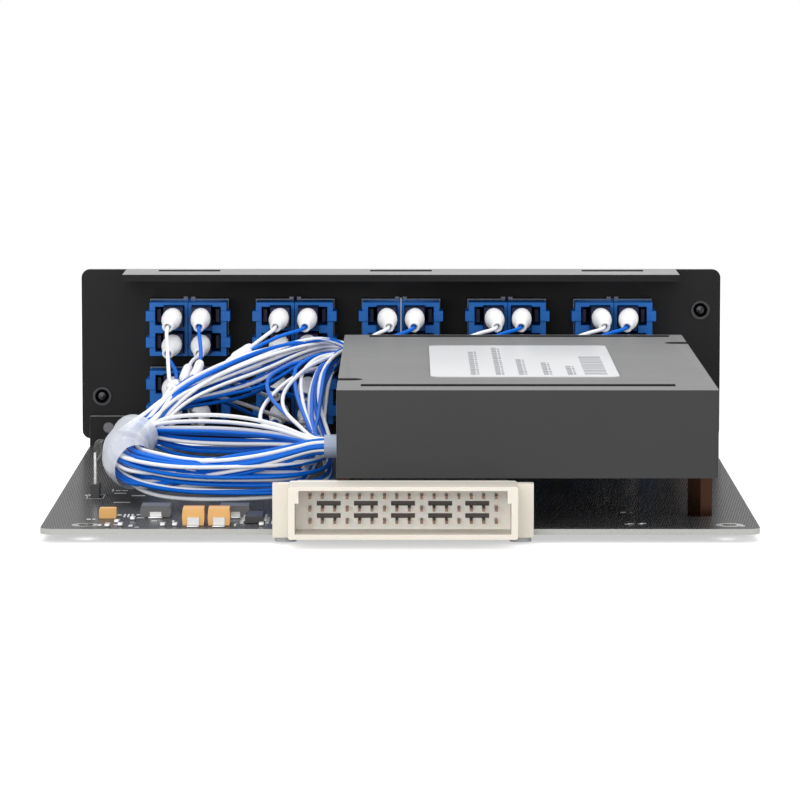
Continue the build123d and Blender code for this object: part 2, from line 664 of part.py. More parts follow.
def module_cover():
    """Flat cover with a locating lip, two open notches and two long grooves."""
    plate = module_plan(MODULE_WIDTH, MODULE_DEPTH, MODULE_EDGE_RADIUS)
    for x, y in OPEN_NOTCHES:
        side = -1 if x < MODULE_CENTRE_X else 1
        edge = MODULE_LEFT if side < 0 else MODULE_RIGHT
        inner = edge - side * (NOTCH_DEPTH - NOTCH_WIDTH / 2)
        plate -= Pos(inner, y) * Circle(NOTCH_WIDTH / 2)
        plate -= Pos((inner + edge + side) / 2, y) * Rectangle(abs(edge + side - inner), NOTCH_WIDTH)
    cover = extrude(Pos(0, 0, Z_COVER) * plate, amount=COVER_THICKNESS)
    outer_width = MODULE_WIDTH - 2 * MODULE_WALL - 2 * PART_GAP
    outer_depth = MODULE_DEPTH - 2 * MODULE_WALL - 2 * PART_GAP
    lip = module_plan(outer_width, outer_depth, MODULE_CORNER_RADIUS)
    inner_width = outer_width - 2 * COVER_LIP_WIDTH
    inner_depth = outer_depth - 2 * COVER_LIP_WIDTH
    lip -= module_plan(inner_width, inner_depth, COVER_LIP_WIDTH)
    for x, y in STANDOFFS:
        clear = 2 * PART_GAP
        lip -= Pos(x, y) * Rectangle(2 * PILLAR_SIZE - 2 * STANDOFF_INSET + clear, PILLAR_SIZE + clear)
    cover += extrude(Pos(0, 0, Z_COVER - COVER_LIP) * lip, amount=COVER_LIP)
    for left, right, near in (FRONT_GROOVE, REAR_GROOVE):
        low = Z_MODULE_TOP - GROOVE_DEPTH
        y = Y_BOARD + near
        cover -= slab(MODULE_LEFT + left, MODULE_RIGHT - right, y, y + GROOVE_WIDTH, low, Z_MODULE_TOP + 1)
    return cover


def housing_screws():
    """Screws down through the pillars into the standoffs."""
    end = Z_MODULE - SCREW_GRIP
    screws = []
    for place in STANDOFFS:
        seat = Z_COVER if place in OPEN_NOTCHES else Z_COVER - SCREW_HEAD_HEIGHT - PART_GAP
        top = seat + SCREW_HEAD_HEIGHT
        screws.append(
            turned_z(
                *place,
                (0, end),
                (SCREW_RADIUS, end),
                (SCREW_RADIUS, seat),
                (SCREW_HEAD_RADIUS, seat),
                (SCREW_HEAD_RADIUS, top),
                (0, top),
            )
        )
    return group(screws)


def module_standoffs():
    """Hexagonal pillars between the board and the housing, threaded through."""
    corner_radius = STANDOFF_FLATS / math.sqrt(3)
    section = RegularPolygon(corner_radius, 6, rotation=30) - Circle(THREAD_HOLE_RADIUS)
    return group(
        extrude(Pos(x, y, Z_BOARD) * section, amount=STANDOFF_HEIGHT) for x, y in STANDOFFS
    )


def underside_screw(x, y, top):
    """Screw with its head under the board, which the card rests on."""
    return turned_z(
        x,
        y,
        (0, 0),
        (SCREW_HEAD_RADIUS, 0),
        (SCREW_HEAD_RADIUS, Z_BOARD_BOTTOM),
        (SCREW_RADIUS, Z_BOARD_BOTTOM),
        (SCREW_RADIUS, top),
        (0, top),
    )


def standoff_screws():
    return group(underside_screw(x, y, Z_BOARD + SCREW_GRIP) for x, y in STANDOFFS)


def module_label():
    width, depth, thickness = LABEL_SIZE
    x, y = LABEL_PLACE
    sheet = RectangleRounded(width, depth, LABEL_CORNER_RADIUS)
    place = Pos(MODULE_LEFT + x + width / 2, Y_BOARD + y + depth / 2, Z_MODULE_TOP)
    return extrude(place * sheet, amount=thickness)


def heater_plate():
    width, depth, height = HEATER_SIZE
    z = Z_MODULE + MODULE_WALL
    middle = Pos(MODULE_CENTRE_X, Y_BOARD + MODULE_CENTRE_Y, z)
    return extrude(middle * RectangleRounded(width, depth, 2), amount=height)


def waveguide_chip():
    """Thin planar chip, cut on a slant at its ends as such chips are."""
    width, depth, height = CHIP_SIZE
    slant = height * math.tan(math.radians(8))
    z = Z_MODULE + MODULE_WALL + HEATER_SIZE[2]
    half = width / 2
    section = outline(
        (MODULE_CENTRE_X - half, z),
        (MODULE_CENTRE_X + half, z),
        (MODULE_CENTRE_X + half - slant, z + height),
        (MODULE_CENTRE_X - half + slant, z + height),
    )
    y = Y_BOARD + MODULE_CENTRE_Y
    return along_y(section, y - depth / 2, y + depth / 2)


def fibre_arrays():
    """Grooved glass blocks glued to the two ends of the chip."""
    width, depth, height = ARRAY_SIZE
    z = Z_MODULE + MODULE_WALL + HEATER_SIZE[2]
    y = Y_BOARD + MODULE_CENTRE_Y
    blocks = []
    for side in (-1, 1):
        near = side * (CHIP_SIZE[0] / 2 + FIT_GAP)
        x0, x1 = sorted((MODULE_CENTRE_X + near, MODULE_CENTRE_X + near + side * width))
        blocks.append(slab(x0, x1, y - depth / 2, y + depth / 2, z, z + height))
    return group(blocks)


def connector_housing():
    """Shrouded male housing with a keyed opening, a slotted floor and two fixing lugs."""
    shroud_middle = Pos(CONNECTOR_X, Z_SHROUD + SHROUD_HEIGHT / 2)
    outer = shroud_middle * RectangleRounded(SHROUD_WIDTH, SHROUD_HEIGHT, SHROUD_CORNER_RADIUS)
    body = along_y(outer, Y_SHROUD_FRONT, Y_BOARD - PART_GAP)
    plate_low = LUG_PLATE_LOW
    plate_high = Z_SHROUD_TOP - LUG_PLATE_STEP
    plate = outline(
        (CONNECTOR_X - LUG_SPAN / 2, plate_low),
        (CONNECTOR_X + LUG_SPAN / 2, plate_low),
        (CONNECTOR_X + LUG_SPAN / 2, plate_high),
        (CONNECTOR_X - LUG_SPAN / 2, plate_high),
    )
    body += along_y(plate, Y_BOARD - LUG_PLATE, Y_BOARD - PART_GAP)
    half_rear = REAR_BODY_WIDTH / 2
    body += slab(
        CONNECTOR_X - half_rear,
        CONNECTOR_X + half_rear,
        Y_BOARD - LUG_PLATE,
        Y_BOARD + REAR_BODY_DEPTH,
        Z_BOARD,
        Z_SHROUD_TOP,
    )
    for side in (-1, 1):
        x0, x1 = sorted((CONNECTOR_X + side * half_rear, CONNECTOR_X + side * LUG_SPAN / 2))
        lug = slab(x0, x1, Y_BOARD - LUG_PLATE, Y_BOARD + LUG_DEPTH, Z_BOARD, Z_BOARD + LUG_HEIGHT)
        body += lug
    for x, y in LUG_SCREWS:
        body -= upright(SCREW_HOLE_RADIUS, Z_BOARD - 1, Z_BOARD + LUG_HEIGHT + 1, x, y)
    low = Z_SHROUD + SHROUD_WALL
    high = Z_SHROUD_TOP - SHROUD_WALL + SHROUD_TOP_SLIM
    wide = SHROUD_WIDTH / 2 - SHROUD_SIDE_WALL
    narrow = wide - KEY_WIDTH
    opening = outline(
        (CONNECTOR_X - wide, low),
        (CONNECTOR_X + wide, low),
        (CONNECTOR_X + wide, high - KEY_HEIGHT),
        (CONNECTOR_X + narrow, high - KEY_HEIGHT),
        (CONNECTOR_X + narrow, high),
        (CONNECTOR_X - narrow, high),
        (CONNECTOR_X - narrow, high - KEY_HEIGHT),
        (CONNECTOR_X - wide, high - KEY_HEIGHT),
    )
    body -= along_y(opening, Y_SHROUD_FRONT, Y_SHROUD_FLOOR)
    slots = Sketch()
    for i in range(FLOOR_SLOTS):
        x = (CONTACT_XS[3 * i + 1] + CONTACT_XS[3 * i + 2]) / 2
        for lower, upper in zip(CONTACT_ZS, CONTACT_ZS[1:]):
            middle = Pos(x, (lower + upper) / 2 - FLOOR_SLOT_DROP)
            slots += middle * Rectangle(FLOOR_SLOT_WIDTH, FLOOR_SLOT_HEIGHT)
    return body - along_y(slots, Y_SHROUD_FLOOR, Y_SHROUD_FLOOR + FLOOR_SLOT_DEPTH)


def connector_contacts():
    """Square right-angled contacts, from the shroud down through the board."""
    half = CONTACT_SIZE / 2
    tip = Y_SHROUD_FRONT + CONTACT_TIP
    foot = Z_BOARD_BOTTOM - CONTACT_TAIL
    contacts = []
    for row, z in enumerate(CONTACT_ZS):
        tail = Y_BOARD + CONTACT_TAIL_START + (row + 1) * CONTACT_PITCH / 2 + row * CONTACT_PITCH / 2
        bent = outline(
            (tip, z - half),
            (tail - half, z - half),
            (tail - half, foot),
            (tail + half, foot),
            (tail + half, z + half),
            (tip, z + half),
        )
        contacts += [along_x(bent, x - half, x + half) for x in CONTACT_XS]
    return group(contacts)


def connector_screws():
    """Screws up through the lugs, each with its nut."""
    top = Z_BOARD + LUG_HEIGHT
    nut = RegularPolygon(NUT_FLATS / math.sqrt(3), 6) - Circle(THREAD_HOLE_RADIUS)
    pieces = []
    for x, y in LUG_SCREWS:
        pieces.append(underside_screw(x, y, top + NUT_HEIGHT))
        pieces.append(extrude(Pos(x, y, top) * nut, amount=NUT_HEIGHT))
    return group(pieces)


def captive_places():
    """Left and right captive screws, in X and Z."""
    return [(-CAPTIVE_X, Z_BOARD + CAPTIVE_LEFT_HEIGHT), (CAPTIVE_X, Z_BOARD + CAPTIVE_RIGHT_HEIGHT)]


def captive_ferrule(x, z):
    """Ferrule pressed into the panel, with a neck that keeps the screw's thread behind it."""
    neck = Y_BARREL_END - FERRULE_NECK
    rear = Y_PANEL_REAR - FERRULE_REAR
    return turned_y(
        x,
        z,
        (FERRULE_BORE_RADIUS, rear),
        (FERRULE_RADIUS, rear),
        (FERRULE_RADIUS, Y_PANEL_FRONT),
        (FERRULE_FLANGE_RADIUS, Y_PANEL_FRONT),
        (FERRULE_FLANGE_RADIUS, Y_FERRULE_FACE),
        (FERRULE_BARREL_RADIUS, Y_FERRULE_FACE),
        (FERRULE_BARREL_RADIUS, Y_BARREL_END),
        (CAPTIVE_SHANK_RADIUS + RUNNING_GAP, Y_BARREL_END),
        (CAPTIVE_SHANK_RADIUS + RUNNING_GAP, neck),
        (FERRULE_BORE_RADIUS, neck),
    )


def captive_spring(x, z):
    """Compression spring between the ferrule and the washer, of square wire."""
    travel = SPRING_LENGTH - SPRING_WIRE - 2 * PART_GAP
    start = Y_FERRULE_FACE + PART_GAP + SPRING_WIRE / 2
    coil = Helix(pitch=travel / SPRING_TURNS, height=travel, radius=SPRING_RADIUS)
    section = Plane(origin=coil @ 0, x_dir=(1, 0, 0), z_dir=coil % 0) * Rectangle(SPRING_WIRE, SPRING_WIRE)
    return Pos(x, start, z) * Rot(-90, 0, 0) * sweep(section, path=coil, is_frenet=True)


def captive_washer(x, z):
    """Spring seat that slides with the screw and lets it turn."""
    return turned_y(
        x,
        z,
        (CAPTIVE_SHANK_RADIUS + RUNNING_GAP, Y_WASHER),
        (WASHER_RADIUS, Y_WASHER),
        (WASHER_RADIUS, Y_WASHER + WASHER_THICKNESS),
        (CAPTIVE_SHANK_RADIUS + RUNNING_GAP, Y_WASHER + WASHER_THICKNESS),
    )


def captive_screw(x, z):
    """Screw with a domed tip, a relieved shank and a skirted knob with a cross recess."""
    tip = Y_PANEL_REAR - CAPTIVE_TIP_PROUD
    shoulder = Y_BARREL_END - FERRULE_NECK - RUNNING_GAP
    head_end = Y_KNOB_FLOOR + KNOB_HEAD
    screw = turned_y(
        0,
        0,
        (0, tip),
        (0.6 * CAPTIVE_THREAD_RADIUS, tip + 0.25 * CAPTIVE_TIP_DOME),
        (CAPTIVE_THREAD_RADIUS, tip + CAPTIVE_TIP_DOME),
        (CAPTIVE_THREAD_RADIUS, shoulder),
        (CAPTIVE_SHANK_RADIUS, shoulder),
        (CAPTIVE_SHANK_RADIUS, Y_KNOB_FLOOR),
        (KNOB_BORE_RADIUS, Y_KNOB_FLOOR),
        (KNOB_BORE_RADIUS, Y_KNOB_FLOOR - KNOB_SKIRT),
        (KNOB_RADIUS, Y_KNOB_FLOOR - KNOB_SKIRT),
        (KNOB_RADIUS, head_end - KNOB_CHAMFER),
        (KNOB_RADIUS - KNOB_CHAMFER, head_end),
        (0, head_end),
    )
    cross = Rectangle(KNOB_RECESS_LENGTH, KNOB_RECESS_WIDTH)
    cross += Rectangle(KNOB_RECESS_WIDTH, KNOB_RECESS_LENGTH)
    screw -= along_y(cross, head_end - KNOB_RECESS_DEPTH, head_end)
    return Pos(x, 0, z) * screw


def terminal(x, y, width, height, facing):
    """Flat lead bent down the end of a moulded part and out along the board."""
    thick = TERMINAL_THICKNESS
    section = outline(
        (y, Z_BOARD),
        (y - facing * TERMINAL_FOOT, Z_BOARD),
        (y - facing * TERMINAL_FOOT, Z_BOARD + thick),
        (y - facing * thick, Z_BOARD + thick),
        (y - facing * thick, Z_BOARD + height),
        (y, Z_BOARD + height),
    )
    return along_x(section, x - width / 2, x + width / 2)


def moulded_part(place, size, draft):
    """Two-lead moulded body, drawn in at its top, with the part line at half height."""
    x = X_BOARD + place[0]
    y = Y_BOARD + place[1]
    width, depth, height = size
    half = width / 2
    foot = Z_BOARD + PART_GAP
    section = outline(
        (x - half + draft, foot),
        (x + half - draft, foot),
        (x + half, Z_BOARD + height / 2),
        (x + half - draft, Z_BOARD + height),
        (x - half + draft, Z_BOARD + height),
        (x - half, Z_BOARD + height / 2),
    )
    body = along_y(section, y, y + depth)
    body += terminal(x, y, TERMINAL_WIDTH, height / 2, 1)
    return body + terminal(x, y + depth, TERMINAL_WIDTH, height / 2, -1)


def moulded_capacitors():
    parts = [moulded_part(place, CAPACITOR_SIZE, 0.15) for place in CAPACITOR_PLACES]
    x, near = SMALL_CAPACITOR_PLACE
    width, depth, height = SMALL_CAPACITOR_SIZE
    middle = Pos(X_BOARD + x, Y_BOARD + near + depth / 2, Z_BOARD + height / 2)
    small = Box(width, depth, height)
    small = fillet(small.edges().filter_by(Axis.Y), 0.35)
    return group(parts + [middle * small])


def rectifier_diodes():
    return group(moulded_part(place, DIODE_SIZE, 0.3) for place in DIODE_PLACES)


def driver_chip():
    """Flat package with a row of bent legs along each side."""
    width, depth, height = DRIVER_SIZE
    x = X_BOARD + DRIVER_PLACE[0]
    y = Y_BOARD + DRIVER_PLACE[1]
    low = Z_BOARD + DRIVER_STANDOFF
    chip = slab(x - width / 2, x + width / 2, y, y + depth, low, Z_BOARD + height)
    chip = chamfer(chip.edges().filter_by(Axis.Y).group_by(Axis.Z)[-1], 0.3)
    waist = Z_BOARD + height / 2
    pieces = [chip]
    for side in (-1, 1):
        root = x + side * width / 2
        knee = root + side * LEG_REACH / 3
        toe = root + side * LEG_REACH
        leg = outline(
            (root, waist),
            (knee + side * LEG_THICKNESS, waist),
            (knee + side * LEG_THICKNESS, Z_BOARD + LEG_THICKNESS),
            (toe, Z_BOARD + LEG_THICKNESS),
            (toe, Z_BOARD),
            (knee, Z_BOARD),
            (knee, waist - LEG_THICKNESS),
            (root, waist - LEG_THICKNESS),
        )
        for i in range(LEG_COUNT):
            middle = y + depth / 2 + (i - (LEG_COUNT - 1) / 2) * LEG_PITCH
            pieces.append(along_y(leg, middle - LEG_WIDTH / 2, middle + LEG_WIDTH / 2))
    return union(pieces)


def chip_parts():
    width, depth, height = CHIP_PART_SIZE
    middle = Pos(X_BOARD, Y_BOARD + depth / 2, Z_BOARD + height / 2)
    return group(middle * Pos(x, y) * Box(width, depth, height) for x, y in CHIP_PART_PLACES)


def status_lamp():
    """Lamp that points at the panel, on two leads bent up from the board."""
    half = LEAD_SIZE / 2
    y_base = Y_BOARD + LAMP_Y + LAMP_SETBACK
    pieces = []
    for i in range(2):
        y = Y_BOARD + LAMP_Y + i * LEAD_PITCH
        z = Z_BOARD + LEAD_HEIGHT - i * LEAD_PITCH
        lead = outline(
            (y - half, Z_BOARD),
            (y + half, Z_BOARD),
            (y + half, z - half),
            (y_base + half, z - half),
            (y_base + half, z + half),
            (y - half, z + half),
        )
        pieces.append(along_x(lead, LAMP_X - half, LAMP_X + half))
    z_axis = Z_BOARD + LEAD_HEIGHT - LEAD_PITCH / 2
    tip = y_base + LAMP_LENGTH
    pieces.append(
        turned_y(
            LAMP_X,
            z_axis,
            (0, y_base),
            (LAMP_RIM_RADIUS, y_base),
            (LAMP_RIM_RADIUS, y_base + LAMP_RIM),
            (LAMP_RADIUS, y_base + LAMP_RIM),
            (LAMP_RADIUS, tip - LAMP_RADIUS),
            (0.7 * LAMP_RADIUS, tip - 0.3 * LAMP_RADIUS),
            (0, tip),
        )
    )
    return union(pieces)


def lamp_spacer():
    width, depth, height = SPACER_SIZE
    middle = Y_BOARD + LAMP_Y + LEAD_PITCH / 2
    spacer = slab(
        LAMP_X - width / 2,
        LAMP_X + width / 2,
        middle - depth / 2,
        middle + depth / 2,
        Z_BOARD,
        Z_BOARD + height,
    )
    reach = LEAD_SIZE / 2 + FIT_GAP
    for i in range(2):
        y = Y_BOARD + LAMP_Y + i * LEAD_PITCH
        spacer -= slab(LAMP_X - reach, LAMP_X + reach, y - reach, y + reach, Z_BOARD, Z_BOARD + height)
    return spacer


def tube_path(name, points):
    """Straight runs joined by arcs as large as the runs allow."""
    radii = []
    for before, corner, after in zip(points, points[1:], points[2:]):
        inward = corner - before
        outward = after - corner
        half_turn = math.radians(inward.get_angle(outward) / 2)
        radii.append(0.45 * min(inward.length, outward.length) / math.tan(half_turn))
    print(name, "bend radii", [round(radius, 1) for radius in radii])
    return FilletPolyline(*points, radius=radii)


def tube_along(path, section):
    """Section swept along a path."""
    return sweep(Plane(origin=path @ 0, z_dir=path % 0) * section, path=path)


def coil_points():
    return [Vector(x, Y_BOARD + y, Z_BOARD + z) for x, y, z in COIL_ROUTE]


def fibre_coil():
    """Outer shape of the gathered fibres, round once beside the housing, in two halves that meet."""
    points = coil_points()
    count = len(points)
    turn = COIL_SPLIT_INDEX
    first_joint = (points[-1] + points[0]) / 2
    second_joint = (points[turn - 1] + points[turn]) / 2
    near_half = [first_joint] + points[:turn] + [second_joint]
    far_half = [second_joint] + points[turn:count] + [first_joint]
    section = RegularPolygon(COIL_RADIUS, 8)
    return union(tube_along(tube_path("fibre_coil", half), section) for half in (near_half, far_half))


def spiral_wrap():
    """Wrap round the left end of the coil."""
    points = coil_points()
    count = len(points)
    first = (points[WRAP_FIRST_INDEX] + points[WRAP_FIRST_INDEX - 1]) / 2
    last = (points[WRAP_LAST_INDEX] + points[(WRAP_LAST_INDEX + 1) % count]) / 2
    route = [first] + points[WRAP_FIRST_INDEX : WRAP_LAST_INDEX + 1] + [last]
    bore = COIL_RADIUS + PART_GAP
    section = RegularPolygon(bore + WRAP_THICKNESS, 8, major_radius=False)
    section -= RegularPolygon(bore, 8, major_radius=False)
    return tube_along(tube_path("spiral_wrap", route), section)


def exit_sleeve():
    """Flexible sleeve where the fibres enter the housing."""
    ring = Circle(EXIT_SLEEVE_RADIUS) - Circle(EXIT_SLEEVE_BORE)
    middle = Pos(Y_BOARD + EXIT_SLEEVE_Y, Z_BOARD + EXIT_SLEEVE_HEIGHT)
    return along_x(middle * ring, MODULE_LEFT - EXIT_SLEEVE_PROUD, MODULE_LEFT + MODULE_WALL)


def straight_tube(start, end, radius, sides):
    """Straight bar with a regular section between two points."""
    run = Line(start, end)
    return sweep(Plane(origin=start, z_dir=run % 0) * RegularPolygon(radius, sides), path=run)


def port_fibres(row):
    """Fibres of one row of ports, down into the run behind them and on to the coil."""
    height = ROW_HEIGHTS[row]
    y_run = Y_PLUG_REAR - RUN_CLEARANCE - RUN_RADIUS
    z_run = Z_BOARD + height - RUN_DROP
    right = COLUMN_XS[-1] + RUN_END
    left = COLUMN_XS[0] - PORT_OFFSET - LEAD_SWAY - RUN_END
    pieces = [straight_tube(Vector(left, y_run, z_run), Vector(right, y_run, z_run), RUN_RADIUS, 8)]
    for column, block_x in enumerate(COLUMN_XS):
        for x, z, _ in port_places(block_x, Z_BOARD + height):
            tip = boot_tip(x, z, column)
            upper = z > Z_BOARD + height
            sway = LEAD_SWAY if upper else LEAD_SWAY / 3
            end = Vector(tip.X - sway, y_run, z_run + 0.5 * RUN_RADIUS)
            pieces.append(straight_tube(tip, end, LEAD_RADIUS, 6))
    target = coil_points()[7]
    shift = RUN_LINK_SHIFTS[row]
    link_start = Vector(target.X + shift, y_run, z_run)
    link_end = target + Vector(shift + RUN_LINK_LEAN, -RUN_LINK_SINK, -RUN_LINK_SINK)
    pieces.append(straight_tube(link_start, link_end, 0.9 * RUN_RADIUS, 8))
    return union(pieces)


def build_parts():
    """Every sub-part by name."""
    parts = {
        "circuit_board": circuit_board(),
        "front_panel": front_panel(),
        "panel_bracket_left": panel_bracket(-1),
        "panel_bracket_right": panel_bracket(1),
        "bracket_screws": bracket_screws(),
        "module_base": module_base(),
        "module_cover": module_cover(),
        "module_label": module_label(),
        "housing_screws": housing_screws(),
        "module_standoffs": module_standoffs(),
        "standoff_screws": standoff_screws(),
        "heater_plate": heater_plate(),
        "waveguide_chip": waveguide_chip(),
        "fibre_arrays": fibre_arrays(),
        "connector_housing": connector_housing(),
        "connector_contacts": connector_contacts(),
        "connector_screws": connector_screws(),
        "moulded_capacitors": moulded_capacitors(),
        "rectifier_diodes": rectifier_diodes(),
        "driver_chip": driver_chip(),
        "chip_parts": chip_parts(),
        "status_lamp": status_lamp(),
        "lamp_spacer": lamp_spacer(),
        "fibre_coil": fibre_coil(),
        "spiral_wrap": spiral_wrap(),
        "exit_sleeve": exit_sleeve(),
    }
    clips = []
    for row, row_name in enumerate(("lower", "upper")):
        z = Z_BOARD + ROW_HEIGHTS[row]
        plugs = []
        boots = []
        dust_plugs = []
        for column, x in enumerate(COLUMN_XS):
            name = f"adapters_{row_name}_{column + 1}"
            parts[name] = group(adapter(x, z, side) for side in (-1, 1))
            clips += [adapter_clip(x, z, side) for side in (-1, 1)]
            dust_plugs += [dust_plug(x, z, side) for side in (-1, 1)]
            for port_x, port_z, side in port_places(x, z):
                plugs.append(plug(port_x, port_z, side))
                boots.append(boot(port_x, port_z, column))
        parts[f"plugs_{row_name}"] = group(plugs)
        parts[f"boots_{row_name}"] = group(boots)
        parts[f"dust_plugs_{row_name}"] = group(dust_plugs)
        parts[f"port_fibres_{row_name}"] = port_fibres(row)
    parts["adapter_clips"] = group(clips)
    for side_name, (x, z) in zip(("left", "right"), captive_places()):
        parts[f"captive_ferrule_{side_name}"] = captive_ferrule(x, z)
        parts[f"captive_spring_{side_name}"] = captive_spring(x, z)
        parts[f"captive_washer_{side_name}"] = captive_washer(x, z)
        parts[f"captive_screw_{side_name}"] = captive_screw(x, z)
    return parts


os.makedirs("parts", exist_ok=True)
for part_name, shape in build_parts().items():
    export_step(shape, f"parts/{part_name}.step")
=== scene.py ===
"""Dresses a rack card that carries a wavelength multiplexer and its coiled fibres.

Lengths are in metres in the card's own frame: X across the card, +Y from the backplane
connector to the front panel, +Z up from the surface that the card rests on.
"""

import logging
import math
import random
from dataclasses import dataclass, field
from enum import Enum
from typing import Callable, Iterable, Sequence

import bmesh
import bpy
from mathutils import Matrix, Vector


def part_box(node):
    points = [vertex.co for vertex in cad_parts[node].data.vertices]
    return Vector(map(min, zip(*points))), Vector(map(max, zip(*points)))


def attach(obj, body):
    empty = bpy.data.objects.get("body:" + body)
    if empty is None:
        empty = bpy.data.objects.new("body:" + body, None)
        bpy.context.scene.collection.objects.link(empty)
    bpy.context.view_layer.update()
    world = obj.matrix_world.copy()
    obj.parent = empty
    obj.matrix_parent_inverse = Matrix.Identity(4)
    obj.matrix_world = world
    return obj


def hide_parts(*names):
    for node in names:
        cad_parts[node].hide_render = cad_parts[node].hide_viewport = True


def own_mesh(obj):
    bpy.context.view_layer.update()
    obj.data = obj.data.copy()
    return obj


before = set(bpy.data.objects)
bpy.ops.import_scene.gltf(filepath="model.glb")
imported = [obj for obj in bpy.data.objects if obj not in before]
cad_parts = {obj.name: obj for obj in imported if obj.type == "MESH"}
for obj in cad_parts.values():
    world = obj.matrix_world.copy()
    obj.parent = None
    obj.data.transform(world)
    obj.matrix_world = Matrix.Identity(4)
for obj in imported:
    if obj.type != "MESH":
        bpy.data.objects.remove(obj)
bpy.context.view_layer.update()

log = logging.getLogger("multiplexer_card")

MM = 0.001
ROOT = "card"
EDGE_FACETS = 2
SHARP_EDGE = math.radians(40)
RECESS_INSET = 1.0 * MM
SEAM_REACH = 0.02 * MM

Colour = tuple[float, float, float]
Place = tuple[float, float, float]
Slot = tuple[float, float]
Key = tuple[int, Slot]


def linear(red: float, green: float, blue: float) -> tuple[float, float, float, float]:
    """Turn a display colour from 0 to 255 into Blender's linear colour.

    Args:
        red: Red on the display.
        green: Green on the display.
        blue: Blue on the display.

    Returns:
        Linear red, green and blue with full alpha.
    """

    def channel(value: float) -> float:
        """Undo the display curve of one channel."""
        part = value / 255
        return part / 12.92 if part <= 0.04045 else ((part + 0.055) / 1.055) ** 2.4

    return (channel(red), channel(green), channel(blue), 1.0)


class Jacket(Enum):
    """Colours of a fibre's jacket."""

    WHITE = "white"
    BLUE = "blue"


class Way(Enum):
    """Ways that a fibre takes from the ports to the multiplexer."""

    ROUND_TWICE = "once and a half round the coil, then in from the front"
    ROUND_TO_FRONT = "half round the coil, then in from the front"
    AGAINST = "down beside the housing, back through the wrap and across"
    SHORT = "straight down beside the housing in an open bow"


class Nodes:
    """Shorthand for building a material's node tree."""

    def __init__(self, name: str) -> None:
        """Start a material with an empty tree.

        Args:
            name: The material's name.
        """
        self.material = bpy.data.materials.new(name)
        self.material.use_nodes = True
        self.tree = self.material.node_tree
        self.tree.nodes.clear()
        self.output = self.tree.nodes.new("ShaderNodeOutputMaterial")
        self.shader = self.tree.nodes.new("ShaderNodeBsdfPrincipled")
        self.link(self.shader.outputs[0], self.output.inputs["Surface"])
        self.coordinates = self.tree.nodes.new("ShaderNodeTexCoord")

    def link(self, source: bpy.types.NodeSocket, target: bpy.types.NodeSocket) -> None:
        """Join two sockets."""
        self.tree.links.new(source, target)

    def add(
        self, kind: str, inputs: dict[int | str, object] | None = None, **settings: object
    ) -> bpy.types.Node:
        """Add a node.

        Args:
            kind: Blender's name of the node type.
            inputs: A value or a source socket for each input.
            settings: The node's own properties.

        Returns:
            The new node.
        """
        node = self.tree.nodes.new(kind)
        for name, value in settings.items():
            setattr(node, name, value)
        for key, value in (inputs or {}).items():
            if isinstance(value, bpy.types.NodeSocket):
                self.link(value, node.inputs[key])
            else:
                node.inputs[key].default_value = value
        return node

    def math(self, operation: str, first: object, second: object = 0.0) -> bpy.types.NodeSocket:
        """Add a Math node and return its result."""
        return self.add("ShaderNodeMath", {0: first, 1: second}, operation=operation).outputs[0]

    def noise(self, scale: float, detail: float = 2.0) -> bpy.types.NodeSocket:
        """Add a noise on Object coordinates and return its value."""
        inputs = {"Vector": self.coordinates.outputs["Object"], "Scale": scale, "Detail": detail}
        return self.add("ShaderNodeTexNoise", inputs).outputs[0]

    def axes(self) -> list[bpy.types.NodeSocket]:
        """Return the three Object coordinates."""
        split = self.add("ShaderNodeSeparateXYZ", {0: self.coordinates.outputs["Object"]})
        return list(split.outputs)

    def mix(self, share: object, first: object, second: object) -> bpy.types.NodeSocket:
        """Mix two colours and return the result."""
        inputs = {"Factor": share, 6: first, 7: second}
        return self.add("ShaderNodeMix", inputs, data_type="RGBA").outputs[2]

    def bump(self, height: bpy.types.NodeSocket, depth: float) -> None:
        """Raise the surface by a height, at most depth metres."""
        node = self.add("ShaderNodeBump", {"Height": height, "Distance": depth, "Strength": 1.0})
        self.link(node.outputs[0], self.shader.inputs["Normal"])

    def within(self, value: bpy.types.NodeSocket, low: float, high: float) -> bpy.types.NodeSocket:
        """Return 1 where a value lies between two limits, and 0 elsewhere."""
        over = self.math("GREATER_THAN", value, low)
        under = self.math("LESS_THAN", value, high)
        return self.math("MULTIPLY", over, under)

    def set(self, **values: object) -> None:
        """Set the shader's own sockets by name, with spaces as underscores."""
        for key, value in values.items():
            self.shader.inputs[key.replace("_", " ")].default_value = value


